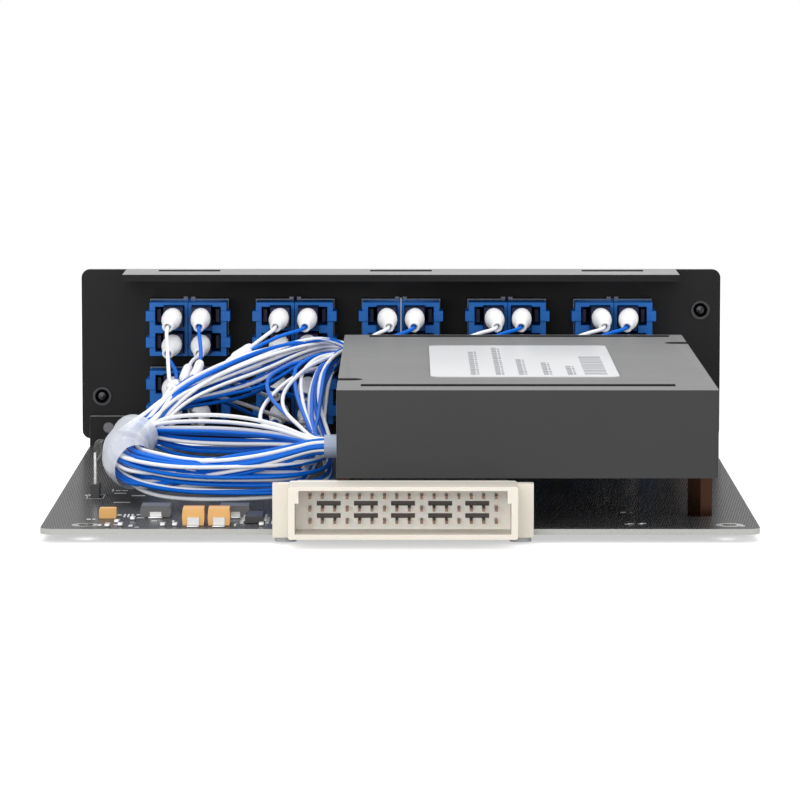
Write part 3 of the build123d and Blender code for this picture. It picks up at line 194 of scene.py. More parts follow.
@dataclass(frozen=True)
class Finish:
    """A surface with a fine grain in its tone, gloss and height."""

    name: str
    colour: Colour
    roughness: float = 0.45
    metallic: float = 0.0
    grain: float = 900.0
    tone: float = 0.12
    gloss_spread: float = 0.08
    relief: float = 0.02 * MM
    specular: float = 0.5
    coat: float = 0.0
    alpha: float = 1.0
    subsurface: float = 0.0
    sheen: float = 0.0

    def material(self) -> bpy.types.Material:
        """Build the material once and reuse it afterwards."""
        found = bpy.data.materials.get(self.name)
        return found or self.build().material

    def build(self) -> Nodes:
        """Lay out the nodes.

        Returns:
            The node tree's helper, for finishes that add to it.
        """
        nodes = Nodes(self.name)
        red, green, blue, _ = linear(*self.colour)
        fine = nodes.noise(self.grain)
        broad = nodes.noise(self.grain / 25, 4.0)
        dark, light = (
            (min(1.0, red * share), min(1.0, green * share), min(1.0, blue * share), 1.0)
            for share in (1 - self.tone, 1 + self.tone)
        )
        nodes.link(nodes.mix(broad, dark, light), nodes.shader.inputs["Base Color"])
        limits = {3: self.roughness - self.gloss_spread, 4: self.roughness + self.gloss_spread}
        gloss = nodes.add("ShaderNodeMapRange", {0: broad, 1: 0.3, 2: 0.7, **limits})
        nodes.link(gloss.outputs[0], nodes.shader.inputs["Roughness"])
        nodes.bump(fine, self.relief)
        nodes.set(Metallic=self.metallic, Specular_IOR_Level=self.specular)
        if self.coat:
            nodes.set(Coat_Weight=self.coat, Coat_Roughness=0.08)
        if self.subsurface:
            nodes.set(Subsurface_Weight=self.subsurface, Subsurface_Scale=1.5 * MM)
        if self.sheen:
            nodes.set(Sheen_Weight=self.sheen, Sheen_Roughness=0.35)
        if self.alpha < 1:
            nodes.set(Alpha=self.alpha)
        return nodes


@dataclass(frozen=True)
class BoardFinish(Finish):
    """Glossy black mask over hatched copper, pale at the cut edge, with tinned rings round the holes."""

    hatch: tuple[float, float] = (0.54 * MM, 5.0 * MM)
    hatch_level: float = 0.6
    holes: tuple[tuple[float, float], ...] = ()
    ring: float = 2.9 * MM
    copper_roughness: float = 0.7
    copper_height: float = 0.006 * MM
    bare_mask: Colour = (12, 12, 13)
    mask_on_copper: Colour = (70, 70, 72)
    tin: Colour = (190, 190, 186)
    cut_edge: Colour = (176, 176, 172)

    def build(self) -> Nodes:
        """Lay out the nodes."""
        nodes = super().build()
        x, y, _ = nodes.axes()
        across, along = (2 * math.pi / pitch for pitch in self.hatch)
        lines = []
        for sign in (1.0, -1.0):
            sideways = nodes.math("MULTIPLY", x, across)
            lengthways = nodes.math("MULTIPLY", y, sign * along)
            lines.append(nodes.math("SINE", nodes.math("ADD", sideways, lengthways)))
        wave = nodes.math("MAXIMUM", lines[0], lines[1])
        copper = nodes.math("GREATER_THAN", wave, self.hatch_level)
        mask = nodes.mix(copper, linear(*self.bare_mask), linear(*self.mask_on_copper))
        ringed: bpy.types.NodeSocket | None = None
        for hole_x, hole_y in self.holes:
            offset = nodes.add(
                "ShaderNodeVectorMath",
                {0: nodes.coordinates.outputs["Object"], 1: (hole_x, hole_y, 0.0)},
                operation="SUBTRACT",
            )
            flat = nodes.add(
                "ShaderNodeVectorMath", {0: offset.outputs[0], 1: (1.0, 1.0, 0.0)}, operation="MULTIPLY"
            )
            reach = nodes.add("ShaderNodeVectorMath", {0: flat.outputs[0]}, operation="LENGTH")
            near = nodes.math("LESS_THAN", reach.outputs["Value"], self.ring)
            ringed = near if ringed is None else nodes.math("MAXIMUM", ringed, near)
        tinned = nodes.mix(ringed, mask, linear(*self.tin))
        up = nodes.add("ShaderNodeSeparateXYZ", {0: nodes.add("ShaderNodeNewGeometry").outputs["Normal"]})
        level = nodes.math("GREATER_THAN", nodes.math("ABSOLUTE", up.outputs[2]), 0.5)
        whole = nodes.mix(level, linear(*self.cut_edge), tinned)
        nodes.link(whole, nodes.shader.inputs["Base Color"])
        nodes.link(ringed, nodes.shader.inputs["Metallic"])
        raised = nodes.math("MULTIPLY", copper, nodes.math("SUBTRACT", 1.0, ringed))
        dull = nodes.add("ShaderNodeMapRange", {0: raised, 3: self.roughness, 4: self.copper_roughness})
        nodes.link(dull.outputs[0], nodes.shader.inputs["Roughness"])
        nodes.bump(raised, self.copper_height)
        return nodes


@dataclass(frozen=True)
class TinnedEndsFinish(Finish):
    """Moulded body whose leads, past both ends of the body along one axis, are tinned."""

    axis: int = 1
    body: tuple[tuple[float, float], ...] = ()
    band: Colour | None = None
    band_at: tuple[float, float] = (0.0, 0.0)
    tin: Colour = (186, 186, 184)

    def build(self) -> Nodes:
        """Lay out the nodes."""
        nodes = super().build()
        along = nodes.axes()[self.axis]
        inside: bpy.types.NodeSocket | None = None
        for low, high in self.body:
            part = nodes.within(along, low, high)
            inside = part if inside is None else nodes.math("MAXIMUM", inside, part)
        plain = nodes.shader.inputs["Base Color"].links[0].from_socket
        if self.band is not None:
            stripe = nodes.within(along, *self.band_at)
            plain = nodes.mix(stripe, plain, linear(*self.band))
        nodes.link(nodes.mix(inside, linear(*self.tin), plain), nodes.shader.inputs["Base Color"])
        nodes.link(nodes.math("SUBTRACT", 1.0, inside), nodes.shader.inputs["Metallic"])
        return nodes


@dataclass(frozen=True)
class PaintedRecessShadeAndLightFinish(Finish):
    """Surface with painted shade and painted light in its recesses: inside boxes of the piece, in
    millimetres, a painted tone stands in for the light that falls there.
    """

    painted_shade_and_light_boxes: tuple[tuple[Place, Place, Colour], ...] = ()

    def build(self) -> Nodes:
        """Lay out the nodes."""
        nodes = super().build()
        tone = nodes.shader.inputs["Base Color"].links[0].from_socket
        axes = nodes.axes()
        # Each box lays its painted tone over the base colour: painted shade in grooves and slots, painted
        # light on a shaded floor.
        for lows, highs, colour in self.painted_shade_and_light_boxes:
            across, along, up = (
                nodes.within(axis, low * MM, high * MM) for axis, low, high in zip(axes, lows, highs)
            )
            inside = nodes.math("MULTIPLY", nodes.math("MULTIPLY", across, along), up)
            tone = nodes.mix(inside, tone, linear(*colour))
        nodes.link(tone, nodes.shader.inputs["Base Color"])
        return nodes


def finishes() -> dict[str, Finish]:
    """Name every finish that covers one of the card's slots."""
    rows = [
        Finish(
            "panel_coat",
            (29, 29, 30),
            roughness=0.5,
            grain=1400,
            relief=0.01 * MM,
            specular=0.12,
            sheen=0.7,
        ),
        PaintedRecessShadeAndLightFinish(
            "box_coat_painted_recess_shade",
            (37, 37, 38),
            roughness=0.5,
            grain=1100,
            relief=0.012 * MM,
            gloss_spread=0.04,
            specular=0.35,
            sheen=0.38,
            # The near-black box is painted shade inside the grooves and notches of the housing's cover.
            painted_shade_and_light_boxes=(((-13.05, -82.6, 29.3), (65.45, 50.6, 31.5), (16, 16, 17)),),
        ),
        PaintedRecessShadeAndLightFinish(
            "ivory_painted_recess_light_and_shade",
            (222, 216, 204),
            roughness=0.45,
            grain=500,
            tone=0.03,
            subsurface=0.25,
            painted_shade_and_light_boxes=(
                # The pale box is painted light on the floor of the connector's recess, which lies in shade.
                ((-25.0, -86.2, 2.0), (27.0, -84.0, 13.2), (250, 244, 236)),
                # The dark brown box is painted shade in the contact slots.
                ((-20.3, -85.82, 3.4), (21.5, -84.82, 11.9), (84, 70, 62)),
            ),
        ),
        Finish("dark_screw", (24, 24, 26), roughness=0.4, metallic=0.3, specular=0.2),
        Finish("bright_steel", (176, 178, 180), roughness=0.28, metallic=1.0),
        Finish("clip_steel", (78, 82, 90), roughness=0.3, metallic=1.0),
        Finish("black_nickel", (60, 60, 62), roughness=0.22, metallic=1.0, relief=0.004 * MM),
        # Turned brass, its colour darkened with painted shade for the dark board and shadow that the
        # standoffs reflect under the housing.
        Finish("brass_turned_painted_shade", (56, 38, 30), roughness=0.2, metallic=1.0, relief=0.004 * MM),
        Finish("milled", (190, 192, 196), roughness=0.35, metallic=1.0),
        Finish("silica", (150, 160, 190), roughness=0.08, gloss_spread=0.02, specular=0.8, relief=0.0),
        Finish("ground_glass", (215, 228, 232), roughness=0.3, alpha=0.6),
        Finish("dark_contact", (112, 88, 72), roughness=0.35, metallic=0.6),
        Finish("package_epoxy", (38, 38, 40), roughness=0.5),
        Finish("chip_body", (120, 106, 88), roughness=0.5),
        Finish("adapter_blue", (2, 101, 186), roughness=0.42, grain=600, tone=0.08, specular=0.3),
        # The plugs' dark navy is their blue darkened with painted shade, for the shade deep inside the
        # adapters.
        Finish("plug_blue_with_painted_shade", (14, 20, 58), roughness=0.45, grain=600, tone=0.08, specular=0.25),
        Finish(
            "boot_white",
            (243, 243, 244),
            roughness=0.5,
            grain=500,
            tone=0.03,
            subsurface=0.15,
            specular=0.3,
        ),
        Finish("marker_white", (238, 238, 241), roughness=0.5, grain=700, tone=0.03, specular=0.3),
        Finish("dust_black", (34, 34, 36), roughness=0.45, grain=700),
        Finish("knob_alloy", (54, 54, 57), roughness=0.3, metallic=1.0),
        Finish("sleeve_milky", (200, 212, 232), roughness=0.35, alpha=0.55),
        Finish("print_grey", (150, 152, 156), roughness=0.6),
        Finish("mask_white", (200, 200, 200), roughness=0.6, relief=0.002 * MM),
        Finish("solder", (188, 188, 190), roughness=0.35, metallic=1.0, grain=1800),
        Finish(
            "jacket_blue",
            (0, 105, 214),
            roughness=0.42,
            grain=500,
            tone=0.06,
            relief=0.003 * MM,
            specular=0.18,
        ),
        Finish(
            "jacket_white",
            (246, 247, 250),
            roughness=0.42,
            grain=500,
            tone=0.03,
            relief=0.003 * MM,
            specular=0.3,
        ),
    ]
    return {finish.name: finish for finish in rows}


FINISHES = finishes()


def cad(node: str) -> bpy.types.Object:
    """Return a CAD node's object."""
    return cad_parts[node]


def coat(piece: bpy.types.Object, finish: Finish) -> bpy.types.Object:
    """Give a piece one finish."""
    slots = piece.data.materials
    if len(slots):
        for index in range(len(slots)):
            slots[index] = finish.material()
    else:
        slots.append(finish.material())
    return piece


def new_piece(name: str, shape: bmesh.types.BMesh, finish: Finish) -> bpy.types.Object:
    """Make a piece of the card from a bmesh.

    Args:
        name: The piece's name.
        shape: Its shape, which is freed.
        finish: Its finish.

    Returns:
        The new object, riding on the card.
    """
    mesh = bpy.data.meshes.new(name)
    bmesh.ops.recalc_face_normals(shape, faces=shape.faces)
    shape.to_mesh(mesh)
    shape.free()
    piece = bpy.data.objects.new(name, mesh)
    bpy.context.scene.collection.objects.link(piece)
    coat(piece, finish)
    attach(piece, ROOT)
    log.info("%s: %d faces", name, len(mesh.polygons))
    return piece


def smooth(piece: bpy.types.Object, angle: float = 35.0) -> bpy.types.Object:
    """Shade a piece smooth, with creases where faces meet at more than an angle in degrees."""
    shape = bmesh.new()
    shape.from_mesh(piece.data)
    for face in shape.faces:
        face.smooth = True
    for edge in shape.edges:
        edge.smooth = len(edge.link_faces) == 2 and edge.calc_face_angle(math.pi) < math.radians(angle)
    shape.to_mesh(piece.data)
    shape.free()
    return piece


def softened(
    node: str, width: float, finish: Finish, seam: float | None = None
) -> bpy.types.Object:
    """Stand in for a CAD node with a copy whose edges are broken.

    Args:
        node: The CAD node.
        width: How wide the broken edge is.
        finish: Its finish.
        seam: Height in metres of a joint whose edges stay sharp, as do those of recesses.

    Returns:
        The piece that replaces the node.
    """
    shape = bmesh.new()
    shape.from_mesh(cad(node).data)
    bmesh.ops.remove_doubles(shape, verts=shape.verts, dist=0.001 * MM)
    bmesh.ops.dissolve_limit(
        shape,
        angle_limit=math.radians(0.5),
        verts=shape.verts,
        edges=shape.edges,
        use_dissolve_boundaries=False,
    )
    bmesh.ops.recalc_face_normals(shape, faces=shape.faces)
    weight = shape.edges.layers.float.new("bevel_weight_edge")
    sides = [[axis([vert.co[index] for vert in shape.verts]) for axis in (min, max)] for index in (0, 1)]

    def stays(edge: bmesh.types.BMEdge) -> bool:
        """Tell whether an edge belongs to the joint or to a recess."""
        if seam is None:
            return False
        joint = all(abs(vert.co.z - seam) < SEAM_REACH for vert in edge.verts)
        recess = all(
            low + RECESS_INSET < vert.co[index] < high - RECESS_INSET
            for vert in edge.verts
            for index, (low, high) in enumerate(sides)
        )
        return joint or recess

    for edge in shape.edges:
        sharp = len(edge.link_faces) == 2 and edge.calc_face_angle(0.0) > SHARP_EDGE
        edge[weight] = 1.0 if sharp and not stays(edge) else 0.0
        edge.smooth = not (sharp and stays(edge))
    piece = new_piece(f"{node}_edged", shape, finish)
    bevel = piece.modifiers.new("edges", "BEVEL")
    bevel.width = width
    bevel.segments = EDGE_FACETS
    bevel.limit_method = "WEIGHT"
    bevel.use_clamp_overlap = True
    flats = piece.modifiers.new("flats", "WEIGHTED_NORMAL")
    flats.keep_sharp = True
    flats.weight = 100
    for polygon in piece.data.polygons:
        polygon.use_smooth = True
    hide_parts(node)
    return piece


def block(shape: bmesh.types.BMesh, low: Sequence[float], high: Sequence[float]) -> None:
    """Add a block between two opposite corners, in millimetres."""
    size = [(b - a) * MM for a, b in zip(low, high)]
    middle = [(a + b) / 2 * MM for a, b in zip(low, high)]
    matrix = Matrix.Translation(middle) @ Matrix.Diagonal((*size, 1.0))
    bmesh.ops.create_cube(shape, size=1.0, matrix=matrix)


def turned(
    shape: bmesh.types.BMesh, profile: Iterable[tuple[float, float]], place: Matrix, steps: int
) -> None:
    """Spin a profile of radius and height, in millimetres, about a place's own Z axis."""
    added = [shape.verts.new(place @ Vector((r * MM, 0, z * MM))) for r, z in profile]
    edges = [shape.edges.new(pair) for pair in zip(added, added[1:])]
    bmesh.ops.spin(
        shape,
        geom=added + edges,
        cent=place.translation,
        axis=place.to_3x3() @ Vector((0, 0, 1)),
        angle=2 * math.pi,
        steps=steps,
        use_merge=True,
        use_duplicate=False,
    )


def swept(
    shape: bmesh.types.BMesh, line: Sequence[Vector], radius: Callable[[float, float], float], sides: int
) -> None:
    """Extrude a ring along a line.

    Args:
        shape: Where the tube goes.
        line: Points along the tube's middle, in metres.
        radius: The tube's radius in metres at a distance along it and an angle round it.
        sides: Facets round the tube.
    """
    direction = (line[1] - line[0]).normalized()
    side = direction.orthogonal().normalized()
    ring = bmesh.ops.create_circle(shape, cap_ends=False, radius=1.0, segments=sides)["verts"]
    edges = [edge for edge in shape.edges if all(vert in ring for vert in edge.verts)]
    travelled = 0.0
    for index, point in enumerate(line):
        if index:
            travelled += (point - line[index - 1]).length
            grown = bmesh.ops.extrude_edge_only(shape, edges=edges)["geom"]
            ring_next = [item for item in grown if isinstance(item, bmesh.types.BMVert)]
            edges = [
                item
                for item in grown
                if isinstance(item, bmesh.types.BMEdge) and all(vert in ring_next for vert in item.verts)
            ]
            ring = order_like(ring, ring_next)
        ahead = line[min(index + 1, len(line) - 1)] - line[max(index - 1, 0)]
        turn = direction.rotation_difference(ahead.normalized())
        side = (turn @ side).normalized()
        direction = ahead.normalized()
        other = direction.cross(side)
        for step, vert in enumerate(ring):
            angle = 2 * math.pi * step / sides
            reach = radius(travelled, angle)
            vert.co = point + (side * math.cos(angle) + other * math.sin(angle)) * reach


def order_like(
    ring: Sequence[bmesh.types.BMVert], grown: Sequence[bmesh.types.BMVert]
) -> list[bmesh.types.BMVert]:
    """Put a grown ring in the order of the ring that it grew from."""
    fresh = set(grown)
    ordered = []
    for vert in ring:
        others = (edge.other_vert(vert) for edge in vert.link_edges)
        ordered.append(next(other for other in others if other in fresh))
    return ordered


def drawn_line(name: str, points: Sequence[Vector], depth: float) -> bpy.types.Object:
    """Make a smooth curve through control points in metres.

    Blender adds each point's radius to a curve's bounds, so that radius is a millimetre
    and the bevel's depth is in millimetres.

    Args:
        name: The curve's name.
        points: Its control points.
        depth: Half of its diameter in metres.

    Returns:
        The curve's object.
    """
    curve = bpy.data.curves.new(name, "CURVE")
    curve.dimensions = "3D"
    curve.resolution_u = 5
    curve.bevel_resolution = 2
    curve.bevel_depth = depth / MM
    curve.use_fill_caps = True
    spline = curve.splines.new("NURBS")
    spline.points.add(len(points) - 1)
    for control, point in zip(spline.points, points):
        control.co = (*point, 1.0)
        control.radius = MM
    spline.order_u = 3
    spline.use_endpoint_u = True
    line = bpy.data.objects.new(name, curve)
    bpy.context.scene.collection.objects.link(line)
    return line


def sampled(line: bpy.types.Object) -> list[Vector]:
    """Read the points along a curve's own middle line."""
    depth = line.data.bevel_depth
    line.data.bevel_depth = 0.0
    mesh = bpy.data.meshes.new_from_object(line)
    points = [vert.co.copy() for vert in mesh.vertices]
    bpy.data.meshes.remove(mesh)
    line.data.bevel_depth = depth
    return points


def length_of(points: Sequence[Vector]) -> float:
    """Add up the distances along a line of points."""
    return sum((after - before).length for before, after in zip(points, points[1:]))


@dataclass
class Card:
    """Datums of the card that its pieces share, in millimetres."""

    board_top: float = 2.9
    board_rear: float = -83.65
    plug_rear: float = 143.8
    column_pitch: float = 25.15
    columns: int = 5
    row_heights: tuple[float, float] = (12.6, 28.8)
    port_offset: float = 3.3
    port_pitch: float = 6.25

    def point(self, x: float, y: float, height: float) -> Vector:
        """Turn a place on the card into a point in metres."""
        return Vector((x, self.board_rear + y, self.board_top + height)) * MM

    def column_x(self, column: int) -> float:
        """Return the middle of a column of ports."""
        return (column - (self.columns - 1) / 2) * self.column_pitch


CARD = Card()


@dataclass
class Board:
    """Circuit board with its print, pads and soldered parts."""

    hole_places: tuple[tuple[float, float], ...] = ((-65.2, 7.0), (68.2, 7.0))
    film: float = 0.03
    capacitors: tuple[float, ...] = (-42.8, -37.5)
    capacitor_bodies: tuple[tuple[float, float], ...] = ((4.99, 11.01), (17.7, 20.7))
    capacitor_band: tuple[float, float] = (9.6, 11.01)
    diodes: tuple[float, ...] = (-51.3, -34.8)
    diode_body: tuple[float, float] = (18.99, 25.01)
    driver_body: tuple[float, float] = (-32.26, -28.34)
    lamp_body: tuple[float, float] = (77.9, 90.0)
    lamp_frame: tuple[float, float, float, float] = (-68.2, -64.4, 52.4, 60.4)
    frame_line: float = 0.22
    chip_places: tuple[tuple[float, float], ...] = (
        (-60.5, 3.2),
        (-57.9, 4.4),
        (-58.9, 9.5),
        (-49.1, 4.2),
        (-46.6, 4.4),
        (-28.7, 5.0),
        (-55.9, 14.5),
    )
    bare_pads: tuple[tuple[float, float], ...] = ((47.9, 7.6), (50.4, 8.2), (47.2, 27.6))
    chip_solder: Place = (1.1, 0.8, 0.68)
    chip_ends: tuple[float, float] = (-0.45, 1.35)
    capacitor_solder: Place = (2.6, 2.4, 0.3)
    capacitor_ends: tuple[float, float] = (2.6, 11.0)
    bare_solder: Place = (1.4, 1.8, 0.2)
    diode_solder: Place = (3.0, 1.9, 0.35)
    diode_ends: tuple[float, float] = (17.2, 25.0)
    solder_round: float = 0.12 * MM
    marks: tuple[tuple[float, float, float, float], ...] = (
        (-68.8, 58.0, 1.4, 1.6),
        (-63.4, 66.0, 0.3, 4.0),
        (-62.6, 67.0, 1.1, 1.2),
        (-61.2, 67.0, 1.3, 1.2),
        (-62.6, 62.0, 2.6, 1.2),
        (-61.8, 45.4, 3.6, 1.0),
        (-58.6, 57.4, 3.0, 1.6),
        (-65.6, 15.6, 0.9, 1.4),
        (-64.4, 15.6, 0.6, 1.4),
        (-59.6, 22.8, 0.9, 1.6),
        (-58.2, 20.0, 0.4, 5.0),
        (-57.4, 20.0, 0.4, 5.0),
        (-56.6, 20.0, 0.4, 5.0),
        (-55.2, 18.2, 1.6, 1.4),
        (-55.6, 23.4, 1.1, 1.4),
        (-62.6, 5.2, 0.7, 2.6),
        (-59.4, 6.8, 0.9, 1.2),
        (-56.2, 4.0, 0.8, 3.0),
        (-54.8, 2.6, 0.8, 0.8),
        (-51.8, 13.2, 1.1, 0.9),
        (-47.6, 12.0, 0.5, 2.4),
        (-46.0, 23.4, 0.9, 2.4),
        (-44.9, 12.4, 0.6, 2.4),
        (-34.4, 5.0, 0.4, 4.0),
        (-26.8, 8.6, 0.4, 5.0),
        (46.6, 7.6, 1.0, 1.5),
        (49.4, 8.0, 0.9, 1.5),
        (48.6, 27.4, 0.5, 1.6),
        (70.4, 4.4, 0.9, 1.4),
    )

    def build(self) -> None:
        """Dress the board and everything that is soldered to it."""
        holes = tuple((x * MM, (CARD.board_rear + y) * MM) for x, y in self.hole_places)
        finish = BoardFinish(
            "board_mask", (13, 13, 14), roughness=0.24, gloss_spread=0.03, specular=0.3, holes=holes
        )
        coat(cad("circuit_board"), finish)
        self.parts()
        self.pads()
        self.print_lines()

    def parts(self) -> None:
        """Dress the moulded parts and the lamp."""
        rear = CARD.board_rear

        def spans(*pairs: tuple[float, float]) -> tuple[tuple[float, float], ...]:
            """Turn depths on the card into metres."""
            return tuple(((rear + a) * MM, (rear + b) * MM) for a, b in pairs)

        amber = TinnedEndsFinish(
            "capacitor_epoxy",
            (226, 172, 100),
            roughness=0.45,
            tone=0.08,
            body=spans(*self.capacitor_bodies),
            band=(170, 104, 48),
            band_at=spans(self.capacitor_band)[0],
        )
        coat(cad("moulded_capacitors"), amber)
        black = TinnedEndsFinish("diode_epoxy", (94, 94, 96), roughness=0.42, body=spans(self.diode_body))
        coat(cad("rectifier_diodes"), black)
        left, right = self.driver_body
        legs = TinnedEndsFinish(
            "driver_epoxy", (40, 40, 43), roughness=0.45, axis=0, body=((left * MM, right * MM),)
        )
        coat(cad("driver_chip"), legs)
        lamp = TinnedEndsFinish(
            "lamp_and_leads", (34, 40, 36), roughness=0.2, coat=0.4, body=spans(self.lamp_body)
        )
        coat(cad("status_lamp"), lamp)
        coat(cad("lamp_spacer"), FINISHES["package_epoxy"])
        coat(cad("chip_parts"), FINISHES["chip_body"])

    def pads(self) -> None:
        """Add the solder at the ends of the parts."""
        shape = bmesh.new()
        low = CARD.board_top

        def pad(x: float, y: float, size: Place) -> None:
            """Add a block of solder whose rear edge's middle is at a place."""
            width, depth, height = size
            rear = CARD.board_rear + y
            block(shape, (x - width / 2, rear, low), (x + width / 2, rear + depth, low + height))

        for x, y in self.chip_places:
            for start in self.chip_ends:
                pad(x, y + start, self.chip_solder)
        for x in self.capacitors:
            for y in self.capacitor_ends:
                pad(x, y, self.capacitor_solder)
        for x, y in self.bare_pads:
            pad(x, y, self.bare_solder)
        for x in self.diodes:
            for y in self.diode_ends:
                pad(x, y, self.diode_solder)
        bmesh.ops.bevel(
            shape,
            geom=shape.edges[:],
            offset=self.solder_round,
            offset_type="OFFSET",
            affect="EDGES",
            segments=2,
            profile=0.5,
            material=-1,
        )
        smooth(new_piece("solder_pads", shape, FINISHES["solder"]))

    def print_lines(self) -> None:
        """Print the frame round the lamp's leads and plain marks, with no lettering."""
        shape = bmesh.new()
        low = CARD.board_top
        high = low + self.film
        rear = CARD.board_rear
        line = self.frame_line
        x0, x1, y0, y1 = self.lamp_frame
        for a, b in ((x0, x0 + line), (x1 - line, x1)):
            block(shape, (a, rear + y0, low), (b, rear + y1, high))
        for a, b in ((y0, y0 + line), (y1 - line, y1)):
            block(shape, (x0, rear + a, low), (x1, rear + b, high))
        for x, y, width, depth in self.marks:
            block(shape, (x, rear + y, low), (x + width, rear + y + depth, high))
        new_piece("board_print", shape, FINISHES["mask_white"])


@dataclass
class Multiplexer:
    """Housing of the waveguide chip, with its label, screws and standoffs."""

    edge: float = 0.3 * MM
    seam: float = 29.4
    label_low: tuple[float, float] = (6.4, 28.6)
    label_top: float = 28.85
    film: float = 0.02
    print_start: float = 4.0
    print_rows: tuple[tuple[float, float], ...] = (
        (8.6, 60.0),
        (13.9, 70.0),
        (18.8, 41.0),
        (24.1, 33.0),
        (29.2, 25.0),
    )
    stripes_at: tuple[float, float] = (32.8, 4.8)
    stripes_span: tuple[float, float] = (4.5, 47.0)
    stripe_widths: tuple[float, ...] = (0.8, 1.6, 0.5, 1.1, 2.0)
    stripe_gaps: tuple[float, ...] = (0.9, 0.6, 1.3)

    def build(self) -> None:
        """Dress the housing and what it stands on."""
        softened("module_cover", self.edge, FINISHES["box_coat_painted_recess_shade"], self.seam * MM)
        softened("module_base", self.edge, FINISHES["box_coat_painted_recess_shade"], self.seam * MM)
        coat(cad("housing_screws"), FINISHES["dark_screw"])
        coat(cad("standoff_screws"), FINISHES["bright_steel"])
        coat(cad("module_standoffs"), FINISHES["brass_turned_painted_shade"])
        coat(cad("heater_plate"), FINISHES["milled"])
        coat(cad("waveguide_chip"), FINISHES["silica"])
        coat(cad("fibre_arrays"), FINISHES["ground_glass"])
        foil = Finish(
            "label_foil", (218, 220, 222), roughness=0.34, grain=300, tone=0.03, relief=0.004 * MM
        )
        coat(cad("module_label"), foil)
        self.label_print()

    def label_print(self) -> None:
        """Print plain bars and a block of stripes where such labels have their words."""
        shape = bmesh.new()
        low = CARD.board_top + self.label_top
        high = low + self.film
        x0, y0 = self.label_low
        y0 += CARD.board_rear

        def bar(x: float, width: float, start: float, end: float) -> None:
            """Print one bar along the label's depth."""
            block(shape, (x0 + x, y0 + start, low), (x0 + x + width, y0 + end, high))

        for x, end in self.print_rows:
            start = self.print_start
            while start < end:
                word = min(end, start + 3.0 + 3.0 * math.sin(start * 1.7 + x) ** 2)
                bar(x, 1.1, start, word)
                bar(x + 1.3, 0.5, start + 0.4, word - 0.6)
                start = word + 0.9
        start, end = self.stripes_span
        step = 0
        while start < end:
            width = self.stripe_widths[step % len(self.stripe_widths)]
            bar(*self.stripes_at, start, start + width)
            start += width + self.stripe_gaps[step % len(self.stripe_gaps)]
            step += 1
        new_piece("label_print", shape, FINISHES["print_grey"])


@dataclass
class FrontPanel:
    """Folded panel with its brackets, fastenings and ports."""

    edge: float = 0.25 * MM
    port_edge: float = 0.12 * MM
    spring_wire: float = 0.45 * MM
    spring_turns: int = 3
    spring_steps: int = 28
    spring_facets: int = 10
    slide: float = 5.0 * MM

    def build(self) -> None:
        """Dress the panel and what passes through it."""
        softened("front_panel", self.edge, FINISHES["panel_coat"])
        for side in ("left", "right"):
            softened(f"panel_bracket_{side}", self.edge, FINISHES["panel_coat"])
            coat(cad(f"captive_ferrule_{side}"), FINISHES["black_nickel"])
            self.spring(side)
            coat(cad(f"captive_washer_{side}"), FINISHES["bright_steel"])
            coat(cad(f"captive_screw_{side}"), FINISHES["knob_alloy"])
        coat(cad("bracket_screws"), FINISHES["dark_screw"])
        coat(cad("adapter_clips"), FINISHES["clip_steel"])
        for row in ("lower", "upper"):
            coat(cad(f"plugs_{row}"), FINISHES["plug_blue_with_painted_shade"])
            coat(cad(f"dust_plugs_{row}"), FINISHES["dust_black"])
            for column in range(CARD.columns):
                node = f"adapters_{row}_{column + 1}"
                softened(node, self.port_edge, FINISHES["adapter_blue"])

    def spring(self, side: str) -> None:
        """Wind a captive screw's spring as a fixed coil; the real spring closes up as the screw slides in.

        Args:
            side: The panel's end, left or right.
        """
        node = f"captive_spring_{side}"
        low, high = (Vector(corner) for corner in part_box(node))
        middle = (low + high) / 2
        reach = (high.x - low.x - self.spring_wire) / 2
        rise = high.y - low.y - self.spring_wire
        steps = self.spring_steps * self.spring_turns
        line = []
        for step in range(steps + 1):
            angle = 2 * math.pi * self.spring_turns * step / steps
            across = middle.x + reach * math.cos(angle)
            along = low.y + self.spring_wire / 2 + rise * step / steps
            line.append(Vector((across, along, middle.z + reach * math.sin(angle))))
        shape = bmesh.new()
        swept(shape, line, lambda _along, _angle: self.spring_wire / 2, self.spring_facets)
        bmesh.ops.holes_fill(shape, edges=[edge for edge in shape.edges if edge.is_boundary])
        piece = smooth(new_piece(f"{node}_wire", shape, FINISHES["bright_steel"]), 60)
        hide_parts(node)
        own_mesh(piece)


@dataclass
class Connector:
    """Backplane connector with its contacts and fastenings."""

    edge: float = 0.2 * MM

    def build(self) -> None:
        """Dress the connector."""
        softened("connector_housing", self.edge, FINISHES["ivory_painted_recess_light_and_shade"])
        coat(cad("connector_contacts"), FINISHES["dark_contact"])
        coat(cad("connector_screws"), FINISHES["marker_white"])


